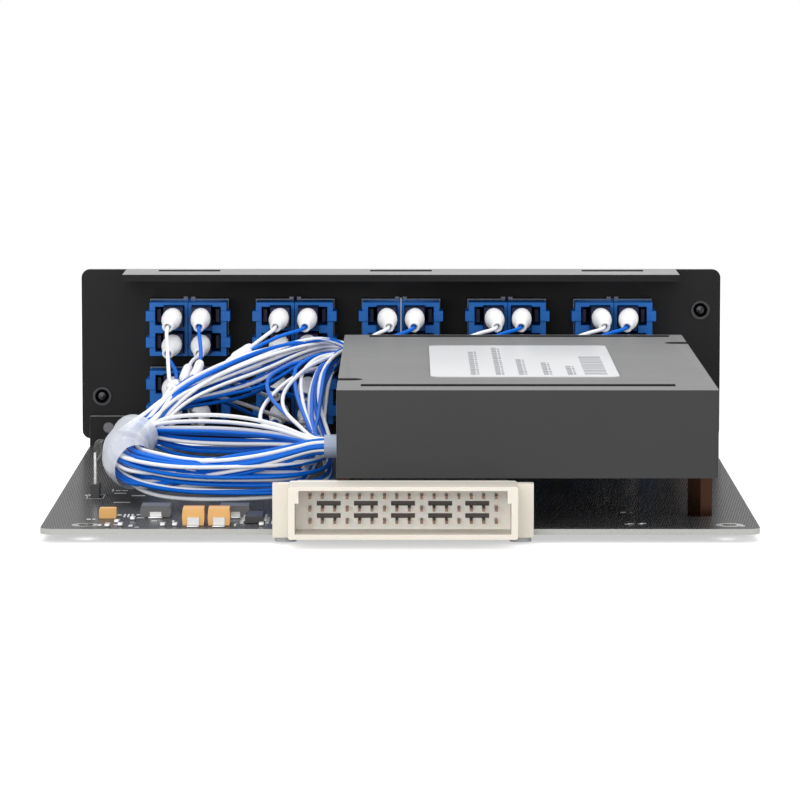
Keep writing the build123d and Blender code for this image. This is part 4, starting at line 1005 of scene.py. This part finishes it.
@dataclass
class Port:
    """One of the card's ports, seen from behind."""

    row: int
    column: int
    side: int
    level: int
    yaws: tuple[tuple[float, float], ...] = (
        (-8.6, -2.0),
        (-8.0, -5.6),
        (4.5, -2.0),
        (5.4, -3.0),
        (6.0, -6.6),
    )
    droop: float = 17.0
    boot_length: float = 6.8
    boot_rise: float = 0.3

    @property
    def x(self) -> float:
        """Middle of the port across the card."""
        return CARD.column_x(self.column) + self.side * CARD.port_offset

    @property
    def height(self) -> float:
        """Middle of the port above the board."""
        return CARD.row_heights[self.row] + self.level * CARD.port_pitch / 2

    @property
    def direction(self) -> Vector:
        """Way that the boot points, away from its plug."""
        yaw = math.radians(self.yaws[self.column][self.side > 0])
        droop = math.radians(self.droop)
        return Vector((math.sin(yaw) * math.cos(droop), -math.cos(yaw) * math.cos(droop), -math.sin(droop)))

    @property
    def root(self) -> Vector:
        """Middle of the plug's rear face, in metres."""
        return CARD.point(self.x, CARD.plug_rear, self.height + self.boot_rise)

    @property
    def tip(self) -> Vector:
        """Point where the fibre leaves the boot, in metres."""
        return self.root + self.direction * self.boot_length * MM

    @property
    def tip_on_card(self) -> tuple[float, float]:
        """Place of the tip across the card and its height above the board, in millimetres."""
        return self.tip.x / MM, self.tip.z / MM - CARD.board_top

    @property
    def jacket(self) -> Jacket:
        """Colour of the port's fibre."""
        return Jacket.WHITE if self.side * self.level < 0 else Jacket.BLUE

    @property
    def name(self) -> str:
        """Words that tell the port from the others."""
        row = ("lower", "upper")[self.row]
        side = "left" if self.side < 0 else "right"
        level = "low" if self.level < 0 else "high"
        return f"{row}_{self.column + 1}_{side}_{level}"


def all_ports() -> list[Port]:
    """List the forty ports."""
    return [
        Port(row, column, side, level)
        for row in (0, 1)
        for column in range(CARD.columns)
        for side in (-1, 1)
        for level in (-1, 1)
    ]


@dataclass
class Boots:
    """Soft boots behind the plugs."""

    steps: int = 20
    profile: tuple[tuple[float, float], ...] = (
        (1.5, -1.5),
        (1.95, -0.7),
        (2.24, 0.4),
        (2.34, 1.5),
        (2.3, 2.4),
        (2.12, 3.3),
        (1.84, 4.1),
        (1.58, 4.8),
        (1.43, 5.5),
        (1.37, 6.3),
        (1.31, 6.7),
        (1.14, 6.9),
        (0.86, 6.86),
        (0.72, 6.6),
        (0.66, 5.6),
    )

    def build(self) -> None:
        """Turn the boots of both rows."""
        for row, name in enumerate(("lower", "upper")):
            shape = bmesh.new()
            for port in all_ports():
                if port.row == row:
                    facing = port.direction.to_track_quat("Z", "Y").to_matrix().to_4x4()
                    turned(shape, self.profile, Matrix.Translation(port.root) @ facing, self.steps)
            bmesh.ops.remove_doubles(shape, verts=shape.verts, dist=0.002 * MM)
            piece = smooth(new_piece(f"boots_{name}_soft", shape, FINISHES["boot_white"]), 60)
            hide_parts(f"boots_{name}")


@dataclass
class Station:
    """Place that the gathered fibres pass, with how far they spread there, in millimetres."""

    x: float
    y: float
    height: float
    across: float
    upright: float


@dataclass
class Slots:
    """A fibre's places in the round bundle, across and upright, each up to 1."""

    back: Slot
    front: Slot
    again: Slot
    last: Slot


@dataclass
class Coil:
    """Forty fibres from the boots round the coil and into the multiplexer, in millimetres.

    Attributes:
        marker_starts: How far from its boot a fibre's marker starts, by the port's side and
            level, in the first and in the second column.
        hung: Points of the upper fibres that hang in sight between the boots and the coil, by
            the port's column, side and level.
        bows: The farthest point of each open bow beside the housing.
        stations: Places that the gathered fibres pass, once round.
        front_station: Where fibres leave the coil's front for the sleeve.
        corner_station: The coil's corner next to the housing.
        hold: Share of its own place in the bundle that a fibre keeps.
        wander: How far it strays from that place.
        sway: How far the whole bundle turns back and forth, in radians.
    """

    diameter: float = 0.9
    marker_radius: float = 1.1
    marker_length: float = 11.0
    marker_taper: float = 1.3
    marker_fit: float = 0.02
    marker_step: float = 0.8
    marker_facets: int = 14
    marker_starts: dict[tuple[int, int], tuple[float, float]] = field(
        default_factory=lambda: {
            (-1, 1): (30.0, 12.0),
            (1, 1): (16.0, 19.0),
            (-1, -1): (18.0, 9.0),
            (1, -1): (13.0, 6.0),
        }
    )
    hung: dict[tuple[int, int, int], tuple[Place, ...]] = field(
        default_factory=lambda: {
            (0, -1, 1): ((-54.3, 131.0, 26.6), (-53.7, 123.0, 22.0), (-52.9, 113.0, 18.8)),
            (0, 1, 1): ((-46.7, 131.5, 27.6), (-46.1, 124.5, 23.9), (-47.2, 115.5, 20.6)),
            (0, -1, -1): ((-52.7, 131.0, 21.6), (-51.7, 124.0, 19.7), (-52.0, 114.0, 17.6)),
            (0, 1, -1): ((-48.3, 131.5, 23.2), (-49.2, 124.0, 22.0), (-50.0, 115.0, 19.8)),
            (1, -1, 1): ((-31.9, 132.5, 28.4), (-35.0, 127.0, 26.3), (-39.7, 116.0, 24.2)),
            (1, 1, 1): ((-27.4, 133.4, 28.9), (-33.0, 128.0, 26.7), (-40.4, 115.0, 23.4)),
        }
    )
    bows: tuple[Place, ...] = (
        (-30.2, 88.0, 22.0),
        (-26.2, 70.0, 20.0),
        (-31.0, 60.0, 17.0),
        (-24.2, 103.0, 23.0),
        (-19.6, 80.0, 21.0),
        (-22.6, 99.0, 22.2),
        (-20.4, 88.0, 19.0),
        (-17.8, 66.0, 18.6),
    )
    exit_point: Place = (-11.5, 30.0, 13.9)
    mouth: Place = (-17.6, 30.6, 13.9)
    mouth_spread: float = 1.4
    run_step: float = 11.0
    run_end: float = 2.0
    beside_x: float = -14.8
    hold: float = 0.88
    wander: float = 0.16
    sway: float = 0.3
    wrap_stations: tuple[int, int] = (3, 10)
    wrap_start: float = 0.27
    wrap_end: Place = (-59.6, 44.0, 8.2)
    wrap_end_facing: Place = (0.62, -0.74, -0.26)
    wrap_radius: float = 4.9
    wrap_pitch: float = 9.0
    wrap_lap: float = 0.22
    wrap_ripple: float = 0.1
    wrap_facets: int = 40
    stations: list[Station] = field(
        default_factory=lambda: [
            Station(-23.2, 128.0, 25.0, 1.5, 3.4),
            Station(-32.5, 116.5, 21.2, 3.2, 6.6),
            Station(-42.0, 107.0, 19.2, 3.2, 5.0),
            Station(-50.5, 95.5, 17.2, 3.2, 3.8),
            Station(-55.7, 83.5, 13.5, 3.2, 3.3),
            Station(-59.1, 71.5, 11.0, 3.3, 3.4),
            Station(-60.3, 60.0, 9.2, 3.6, 3.6),
            Station(-59.0, 49.0, 7.9, 3.8, 4.3),
            Station(-54.2, 40.0, 7.1, 3.8, 5.0),
            Station(-46.0, 34.2, 6.5, 3.8, 4.8),
            Station(-35.0, 32.2, 6.6, 4.0, 4.8),
            Station(-22.2, 31.4, 7.0, 3.0, 4.6),
            Station(-14.5, 39.0, 8.2, 0.9, 4.3),
            Station(-16.2, 56.0, 11.4, 1.1, 4.4),
            Station(-18.8, 77.0, 15.8, 1.6, 4.4),
            Station(-18.6, 98.0, 19.8, 1.6, 4.0),
            Station(-16.6, 115.0, 22.4, 1.0, 3.2),
            Station(-14.4, 128.0, 23.4, 0.4, 2.4),
            Station(-11.6, 138.8, 24.6, 0.6, 1.8),
            Station(-16.4, 141.4, 25.6, 0.7, 2.0),
        ]
    )
    front_station: int = 9
    corner_station: int = 11
    shuffler: random.Random = field(default_factory=lambda: random.Random(7))

    def frame_at(self, index: int) -> tuple[Vector, Vector]:
        """Return a station's middle and its outward sideways direction."""
        count = len(self.stations)
        here = self.stations[index % count]
        after = self.stations[(index + 1) % count]
        before = self.stations[(index - 1) % count]
        along = Vector((after.x - before.x, after.y - before.y, 0)).normalized()
        return CARD.point(here.x, here.y, here.height), Vector((along.y, -along.x, 0))

    def place(self, index: int, slot: Slot, sway: float = 0.0) -> Vector:
        """Return a fibre's point at a station.

        Args:
            index: The station, counted round and round.
            slot: The fibre's place in the bundle, across and upright, each up to 1.
            sway: Turn of the bundle there, in radians.

        Returns:
            The point in metres.
        """
        middle, outward = self.frame_at(index)
        station = self.stations[index % len(self.stations)]
        u = slot[0] * math.cos(sway) - slot[1] * math.sin(sway)
        v = slot[0] * math.sin(sway) + slot[1] * math.cos(sway)
        return middle + outward * u * station.across * MM + Vector((0, 0, v * station.upright * MM))

    def slots(self, count: int) -> list[Slot]:
        """Share out evenly spaced places in the round bundle, in a mixed order."""
        places = []
        for index in range(count):
            reach = math.sqrt((index + 0.5) / count)
            angle = index * math.pi * (3 - math.sqrt(5))
            places.append((reach * math.cos(angle), reach * math.sin(angle)))
        self.shuffler.shuffle(places)
        return places

    def way_of(self, port: Port) -> Way:
        """Choose a fibre's way by where its port is."""
        if port.column <= 1:
            return Way.ROUND_TO_FRONT if port.row == 0 else Way.ROUND_TWICE
        if port.column == 2:
            return Way.SHORT if port.row == 1 else Way.ROUND_TWICE
        return Way.SHORT if port.column == 3 and port.row == 1 else Way.AGAINST

    def lead_in(self, port: Port, slot: Slot) -> tuple[list[Vector], int]:
        """Lead a fibre from its boot to the coil.

        Args:
            port: Where the fibre starts.
            slot: Its place in the bundle.

        Returns:
            Its first points, and the station that comes next.
        """
        u, v = slot
        tip = port.tip
        x, h = port.tip_on_card
        points = [tip - port.direction * 1.0 * MM]
        seen = self.hung.get((port.column, port.side, port.level)) if port.row else None
        if port.column == 0:
            top = self.stations[3].height + self.stations[3].upright * v + 2.0
            hidden = ((x - 0.3, 127.0, h + 0.6), (0.6 * x - 20.2 + u, 113.0, 0.45 * h + 0.55 * top))
            points.append(tip + port.direction * 1.6 * MM)
            points += [CARD.point(*place) for place in seen or hidden]
            points.append(CARD.point(-50.2 + 1.5 * u, 99.0, top))
            return points, 4
        if port.column == 1:
            top = self.stations[2].height + self.stations[2].upright * v + 1.5
            hidden = (
                (0.75 * x - 11.5, 128.5, 0.72 * h + 0.28 * top - 0.6),
                (0.3 * x - 30.6 + u, 117.0, 0.35 * h + 0.65 * top),
            )
            points.append(tip + port.direction * 1.4 * MM)
            points += [CARD.point(*place) for place in seen or hidden]
            points.append(CARD.point(-46.0 + 1.5 * u, 104.0, min(top, 20.5)))
            return points, 3
        points.append(tip + port.direction * 1.0 * MM)
        if self.way_of(port) is Way.ROUND_TWICE:
            points += [
                CARD.point(x - 3.0, 136.2, h + 2.4),
                CARD.point(0.3 * x - 8.0, 138.6, 19.6 + 1.0 * v),
                CARD.point(-13.8, 138.0, 26.0 + 1.1 * v),
                CARD.point(-21.6, 131.0, 27.2 + 1.4 * v),
            ]
            return points, 1
        if port.column == 2:
            points.append(CARD.point(x - 3.4, 136.2, h - 1.6))
        else:
            points.append(CARD.point(x - 4.6, 135.8, h - 1.3))
            points.append(CARD.point(x - 11.0, 136.8, h - 4.2 if port.row else h + 1.0))
            run = x - 21.0
            while run > self.run_end:
                wander = 0.8 * math.sin(run * 0.3 + u * 5)
                points.append(CARD.point(run, 139.2 + 2.6 * u, 20.4 + 2.3 * v + wander))
                run -= self.run_step
            points.append(CARD.point(-4.5, 138.0 + 0.8 * u, 22.4 + 1.8 * v))
        points += [
            CARD.point(-11.6, 137.6 + 0.7 * u, 23.4 + 2.0 * v),
            CARD.point(-14.6, 131.0 + 0.6 * u, 23.4 + 2.2 * v),
        ]
        return points, 1

    def passed(
        self, first: int, last: int, keys: Sequence[Key], phase: float, step: int = 1
    ) -> list[Vector]:
        """Return a fibre's points at a run of stations.

        Args:
            first: The first station, counted round and round.
            last: The station to stop before.
            keys: Stations where the fibre has a place of its own in the bundle, in order.
            phase: Where its slow wander through the bundle starts.
            step: 1 with the coil's own turn, or -1 against it.

        Returns:
            The points in metres.
        """
        points = []
        for index in range(first, last, step):
            before = max((key for key in keys if key[0] <= index), default=keys[0])
            after = min((key for key in keys if key[0] > index), default=keys[-1])
            gap = max(1, after[0] - before[0])
            share = min(1.0, max(0.0, (index - before[0]) / gap))
            u, v = (a + (b - a) * share for a, b in zip(before[1], after[1]))
            u = self.hold * u + self.wander * math.sin(phase + 0.55 * index)
            v = self.hold * v + self.wander * math.cos(1.7 * phase + 0.47 * index)
            points.append(self.place(index, (u, v), self.sway * math.sin(0.5 * index)))
        return points

    def route(self, port: Port, slots: Slots) -> list[Vector]:
        """Lay out a fibre's control points from its boot to the multiplexer.

        Args:
            port: Where the fibre starts.
            slots: Its places in the bundle.

        Returns:
            The control points in metres.
        """
        points, start = self.lead_in(port, slots.back)
        way = self.way_of(port)
        count = len(self.stations)
        phase = 6.0 * slots.back[0] + 4.0 * slots.back[1]
        if way is Way.ROUND_TWICE:
            keys = [
                (2, slots.back),
                (5, slots.front),
                (self.corner_station + 1, slots.front),
                (count - 1, slots.again),
                (count + 2, slots.again),
                (count + 5, slots.last),
            ]
            points += self.passed(start, count + self.front_station, keys, phase)
            points += self.from_front(slots.last)
        elif way is Way.ROUND_TO_FRONT:
            keys = [(2, slots.back), (5, slots.front)]
            points += self.passed(start, self.front_station, keys, phase)
            points += self.from_front(slots.last)
        elif way is Way.AGAINST:
            points += self.beside(slots.back)
            points += self.passed(self.corner_station, 4, [(0, slots.front)], phase, -1)
            points += self.across(slots.last)
        else:
            points += self.bowed(self.bows[port.side + 1 + (port.level + 1) // 2 + 4 * (port.column - 2)])
        mouth = CARD.point(*self.mouth)
        spread = Vector((0, slots.last[0], slots.last[1])) * self.mouth_spread * MM
        points += [mouth + spread, CARD.point(*self.exit_point) + spread]
        return points

    def beside(self, slot: Slot) -> list[Vector]:
        """Bring a fibre from the rear corner down beside the housing to the coil's corner."""
        u, v = slot
        bow = 4.2 + 2.6 * u
        return [
            CARD.point(self.beside_x - 0.35 * bow, 119.0, 21.8 + 1.8 * v),
            CARD.point(self.beside_x - 0.85 * bow, 103.0, 19.0 + 2.4 * v),
            CARD.point(self.beside_x - bow, 85.0, 15.6 + 2.8 * v),
            CARD.point(-15.2 - 0.8 * bow, 67.0, 12.4 + 2.6 * v),
            CARD.point(-16.4 - 0.45 * bow, 50.0, 10.4 + 2.4 * v),
            CARD.point(-18.0 - 0.2 * bow, 40.0, 8.8 + 2.2 * v),
        ]

    def bowed(self, far: Place) -> list[Vector]:
        """Bring a fibre from the rear corner in an open bow down to the sleeve.

        Args:
            far: The bow's point farthest from the housing, on the card.

        Returns:
            The points in metres.
        """
        x, y, height = far
        return [
            CARD.point(0.45 * x - 9.2, 0.42 * y + 76.0, 0.35 * height + 17.2),
            CARD.point(0.9 * x - 1.6, 0.74 * y + 34.0, 0.75 * height + 6.6),
            CARD.point(x, y, height),
            CARD.point(0.86 * x - 2.6, 0.72 * y + 7.6, 0.78 * height + 2.6),
            CARD.point(0.42 * x - 10.9, 0.36 * y + 21.4, 0.3 * height + 10.6),
        ]

    def from_front(self, slot: Slot) -> list[Vector]:
        """Bring a fibre up from the coil's front into the sleeve."""
        u, v = slot
        return [
            CARD.point(-38.5, 32.4 + 2.0 * u, 8.9 + 2.3 * v),
            CARD.point(-29.5, 30.8 + 1.4 * u, 10.5 + 2.0 * v),
            CARD.point(-22.2, 30.4 + 1.0 * u, 12.6 + 1.5 * v),
        ]

    def across(self, slot: Slot) -> list[Vector]:
        """Bring a fibre from the far end of the wrap across the coil's middle."""
        u, v = slot
        return [
            CARD.point(-55.6 + 1.2 * u, 78.5 + 1.2 * u, 11.4 + 2.8 * v),
            CARD.point(-48.5, 74.0 + 2.0 * u, 10.8 + 5.6 * v),
            CARD.point(-37.5, 64.0 + 3.0 * u, 11.5 + 5.9 * v),
            CARD.point(-27.0, 48.0 + 2.2 * u, 13.0 + 4.1 * v),
            CARD.point(-21.5, 37.5 + 1.2 * u, 13.6 + 2.2 * v),
        ]

    def build(self) -> None:
        """Draw and dress every fibre, its marker and the wrap."""
        ports = all_ports()
        through = [port for port in ports if self.way_of(port) in (Way.ROUND_TWICE, Way.ROUND_TO_FRONT)]
        twice = sum(self.way_of(port) is Way.ROUND_TWICE for port in ports)
        against = [port for port in ports if self.way_of(port) is Way.AGAINST]
        front = iter(self.slots(len(through) + twice + len(against)))
        again = iter(self.slots(twice))
        home = iter(self.slots(len(through)))
        across = iter(self.slots(len(against)))
        beside = iter(self.slots(len(against)))
        for port in ports:
            way = self.way_of(port)
            if way is Way.ROUND_TWICE:
                back = (0.0, 0.4 * port.level)
                if port.column == 2:
                    back = (0.3 * port.side, 0.8 + 0.12 * port.level)
                slots = Slots(back, next(front), next(again), next(home))
            elif way is Way.ROUND_TO_FRONT:
                back = (0.5 * port.side, 0.5 * port.level)
                slots = Slots(back, next(front), (0.0, 0.0), next(home))
            elif way is Way.AGAINST:
                slots = Slots(next(beside), next(front), (0.0, 0.0), next(across))
            else:
                back = (0.6 * port.side, 0.6 * port.level)
                slots = Slots(back, (0.0, 0.0), (0.0, 0.0), (0.3 * port.side, 0.5))
            self.fibre(port, self.route(port, slots))
        coat(cad("exit_sleeve"), FINISHES["sleeve_milky"])
        self.wrap()

    def fibre(self, port: Port, points: list[Vector]) -> None:
        """Draw one fibre and slide a marker on it where it shows."""
        line = drawn_line(f"fibre_{port.name}", points, self.diameter / 2 * MM)
        coat(line, FINISHES[f"jacket_{port.jacket.value}"])
        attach(line, ROOT)
        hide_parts("fibre_coil", "port_fibres_lower", "port_fibres_upper")
        middle = sampled(line)
        marked = port.column == 0 or (port.column == 1 and port.row)
        carried = [self.marker(port, middle)] if marked else []

    def marker(self, port: Port, middle: Sequence[Vector]) -> bpy.types.Object:
        """Make the white marker tube a little way along a fibre."""
        start = self.marker_starts[port.side, port.level][port.column] * MM
        end = start + self.marker_length * MM
        line = []
        travelled = 0.0
        for before, after in zip(middle, middle[1:]):
            step = (after - before).length
            pieces = max(1, round(step / (self.marker_step * MM)))
            for index in range(pieces):
                if start <= travelled + step * index / pieces <= end:
                    line.append(before.lerp(after, index / pieces))
            travelled += step
        shape = bmesh.new()
        full = length_of(line)

        def radius(along: float, _: float) -> float:
            """Draw the tube's ends in to the jacket."""
            ends = min(along, full - along) / (self.marker_taper * MM)
            share = min(1.0, max(0.0, ends))
            jacket = self.diameter / 2
            return (jacket + self.marker_fit + (self.marker_radius - jacket) * math.sqrt(share)) * MM

        swept(shape, line, radius, self.marker_facets)
        return smooth(new_piece(f"marker_{port.name}", shape, FINISHES["marker_white"]), 80)

    def wrap(self) -> None:
        """Wind the translucent wrap round the left end of the coil."""
        middles = [self.place(index, (0.0, 0.0)) for index in range(*self.wrap_stations)]
        line = drawn_line("wrap_line", middles, 0.0)
        whole = sampled(line)
        bpy.data.objects.remove(line)
        middle = []
        for before, after in zip(whole, whole[1:]):
            middle += [before.lerp(after, index / 4) for index in range(4)]
        kept = middle[round(self.wrap_start * len(middle)) :]

        def radius(along: float, angle: float) -> float:
            """Step the wall where one turn of the wrap laps the next."""
            phase = (along / (self.wrap_pitch * MM) + angle / (2 * math.pi)) % 1.0
            lap = self.wrap_lap * phase + self.wrap_ripple * math.sin(angle * 3 + along * 420)
            return (self.wrap_radius + lap) * MM

        shape = bmesh.new()
        swept(shape, kept, radius, self.wrap_facets)
        bmesh.ops.bisect_plane(
            shape,
            geom=shape.verts[:] + shape.edges[:] + shape.faces[:],
            plane_co=CARD.point(*self.wrap_end),
            plane_no=self.wrap_end_facing,
            clear_outer=True,
        )
        milky = Finish(
            "wrap_milky", (222, 227, 236), roughness=0.38, grain=180, tone=0.04, alpha=0.72, coat=0.15
        )
        piece = smooth(new_piece("wrap_film", shape, milky), 70)
        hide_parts("spiral_wrap")


@dataclass
class Studio:
    """White room with soft lamps and the photograph's viewpoint."""

    lens: float = 214.74
    tilt: float = 5.62
    yaw: float = 0.072
    stand_x: float = 1.2
    stand_back: float = 974.7
    stand_height: float = 122.6
    floor_glow: float = 0.54
    fade_from: float = 0.25
    fade_to: float = 0.7
    room_light: float = 0.62

    def build(self) -> None:
        """Set the camera, the floor, the room and the lamps."""
        self.camera()
        self.floor()
        self.room()
        self.lamp("top_softbox", (0.0, 0.15, 1.1), (0.0, 0.0, 0.0), size=1.6, power=11.2)
        self.lamp("front_softbox", (-0.3, -1.4, 0.42), (0.0, 0.0, 0.02), size=1.1, power=12.5)
        self.lamp("side_softbox", (1.3, -0.5, 0.6), (0.0, 0.0, 0.02), size=0.8, power=4.0)

    def camera(self) -> None:
        """Stand the camera where the photograph was taken from."""
        data = bpy.data.cameras.new("viewpoint")
        data.lens = self.lens
        data.sensor_width = 36.0
        data.clip_end = 100.0
        camera = bpy.data.objects.new("viewpoint", data)
        camera.location = CARD.point(self.stand_x, -self.stand_back, self.stand_height)
        camera.rotation_euler = (math.radians(90 - self.tilt), 0.0, math.radians(self.yaw))
        bpy.context.scene.collection.objects.link(camera)
        bpy.context.scene.camera = camera

    def floor(self) -> None:
        """Lay a white floor that keeps the card's shadow and fades to white away from it."""
        shape = bmesh.new()
        bmesh.ops.create_grid(shape, x_segments=1, y_segments=1, size=8.0)
        mesh = bpy.data.meshes.new("floor")
        shape.to_mesh(mesh)
        shape.free()
        floor = bpy.data.objects.new("floor", mesh)
        bpy.context.scene.collection.objects.link(floor)
        nodes = Nodes("floor_white")
        nodes.set(Base_Color=(0.75, 0.75, 0.75, 1.0), Roughness=0.9, Specular_IOR_Level=0.0)
        seen = nodes.add("ShaderNodeLightPath")
        glow = nodes.add("ShaderNodeEmission", {"Strength": self.floor_glow})
        lit = nodes.add("ShaderNodeAddShader", {0: nodes.shader.outputs[0], 1: glow.outputs[0]})
        place = nodes.coordinates.outputs["Object"]
        reach = nodes.add("ShaderNodeVectorMath", {0: place}, operation="LENGTH").outputs["Value"]
        fade = {1: self.fade_from, 2: self.fade_to, 3: 0.0, 4: 1.0}
        far = nodes.add("ShaderNodeMapRange", {0: reach, **fade})
        plain = nodes.add("ShaderNodeEmission", {"Strength": 1.0})
        both = nodes.add("ShaderNodeMixShader", {0: far.outputs[0], 1: lit.outputs[0], 2: plain.outputs[0]})
        rays = nodes.math("MAXIMUM", seen.outputs["Is Camera Ray"], seen.outputs["Is Glossy Ray"])
        pick = nodes.add("ShaderNodeMixShader", {0: rays, 1: nodes.shader.outputs[0], 2: both.outputs[0]})
        nodes.link(pick.outputs[0], nodes.output.inputs["Surface"])
        mesh.materials.append(nodes.material)

    def room(self) -> None:
        """Light the room evenly, and show it white to the eye, to metal and to glass."""
        world = bpy.data.worlds.new("room")
        bpy.context.scene.world = world
        world.use_nodes = True
        tree = world.node_tree
        tree.nodes.clear()
        output = tree.nodes.new("ShaderNodeOutputWorld")
        rays = tree.nodes.new("ShaderNodeLightPath")
        soft = tree.nodes.new("ShaderNodeBackground")
        soft.inputs["Strength"].default_value = self.room_light
        white = tree.nodes.new("ShaderNodeBackground")
        white.inputs["Strength"].default_value = 1.0
        seen = tree.nodes.new("ShaderNodeMath")
        seen.operation = "MAXIMUM"
        tree.links.new(rays.outputs["Is Camera Ray"], seen.inputs[0])
        tree.links.new(rays.outputs["Is Glossy Ray"], seen.inputs[1])
        clear = tree.nodes.new("ShaderNodeMath")
        clear.operation = "MAXIMUM"
        tree.links.new(seen.outputs[0], clear.inputs[0])
        tree.links.new(rays.outputs["Is Transmission Ray"], clear.inputs[1])
        mix = tree.nodes.new("ShaderNodeMixShader")
        tree.links.new(clear.outputs[0], mix.inputs[0])
        tree.links.new(soft.outputs[0], mix.inputs[1])
        tree.links.new(white.outputs[0], mix.inputs[2])
        tree.links.new(mix.outputs[0], output.inputs["Surface"])

    def lamp(self, name: str, place: Place, aim: Place, size: float, power: float) -> None:
        """Hang a square soft lamp.

        Args:
            name: Its name.
            place: Where it hangs, in metres.
            aim: What it points at.
            size: Its side in metres.
            power: Its power in watts.
        """
        data = bpy.data.lights.new(name, "AREA")
        data.shape = "SQUARE"
        data.size = size
        data.energy = power
        lamp = bpy.data.objects.new(name, data)
        lamp.location = place
        lamp.rotation_euler = (Vector(aim) - Vector(place)).to_track_quat("-Z", "Y").to_euler()
        bpy.context.scene.collection.objects.link(lamp)


def main() -> None:
    """Build the studio and dress the card, part by part."""
    logging.basicConfig(level=logging.INFO, format="%(name)s: %(message)s")
    bpy.context.scene.view_settings.view_transform = "Standard"
    for section in (Studio(), Coil(), Board(), Multiplexer(), FrontPanel(), Connector(), Boots()):
        log.info("building %s", type(section).__name__)
        section.build()
    bpy.context.view_layer.update()


if __name__ == "__main__":
    main()
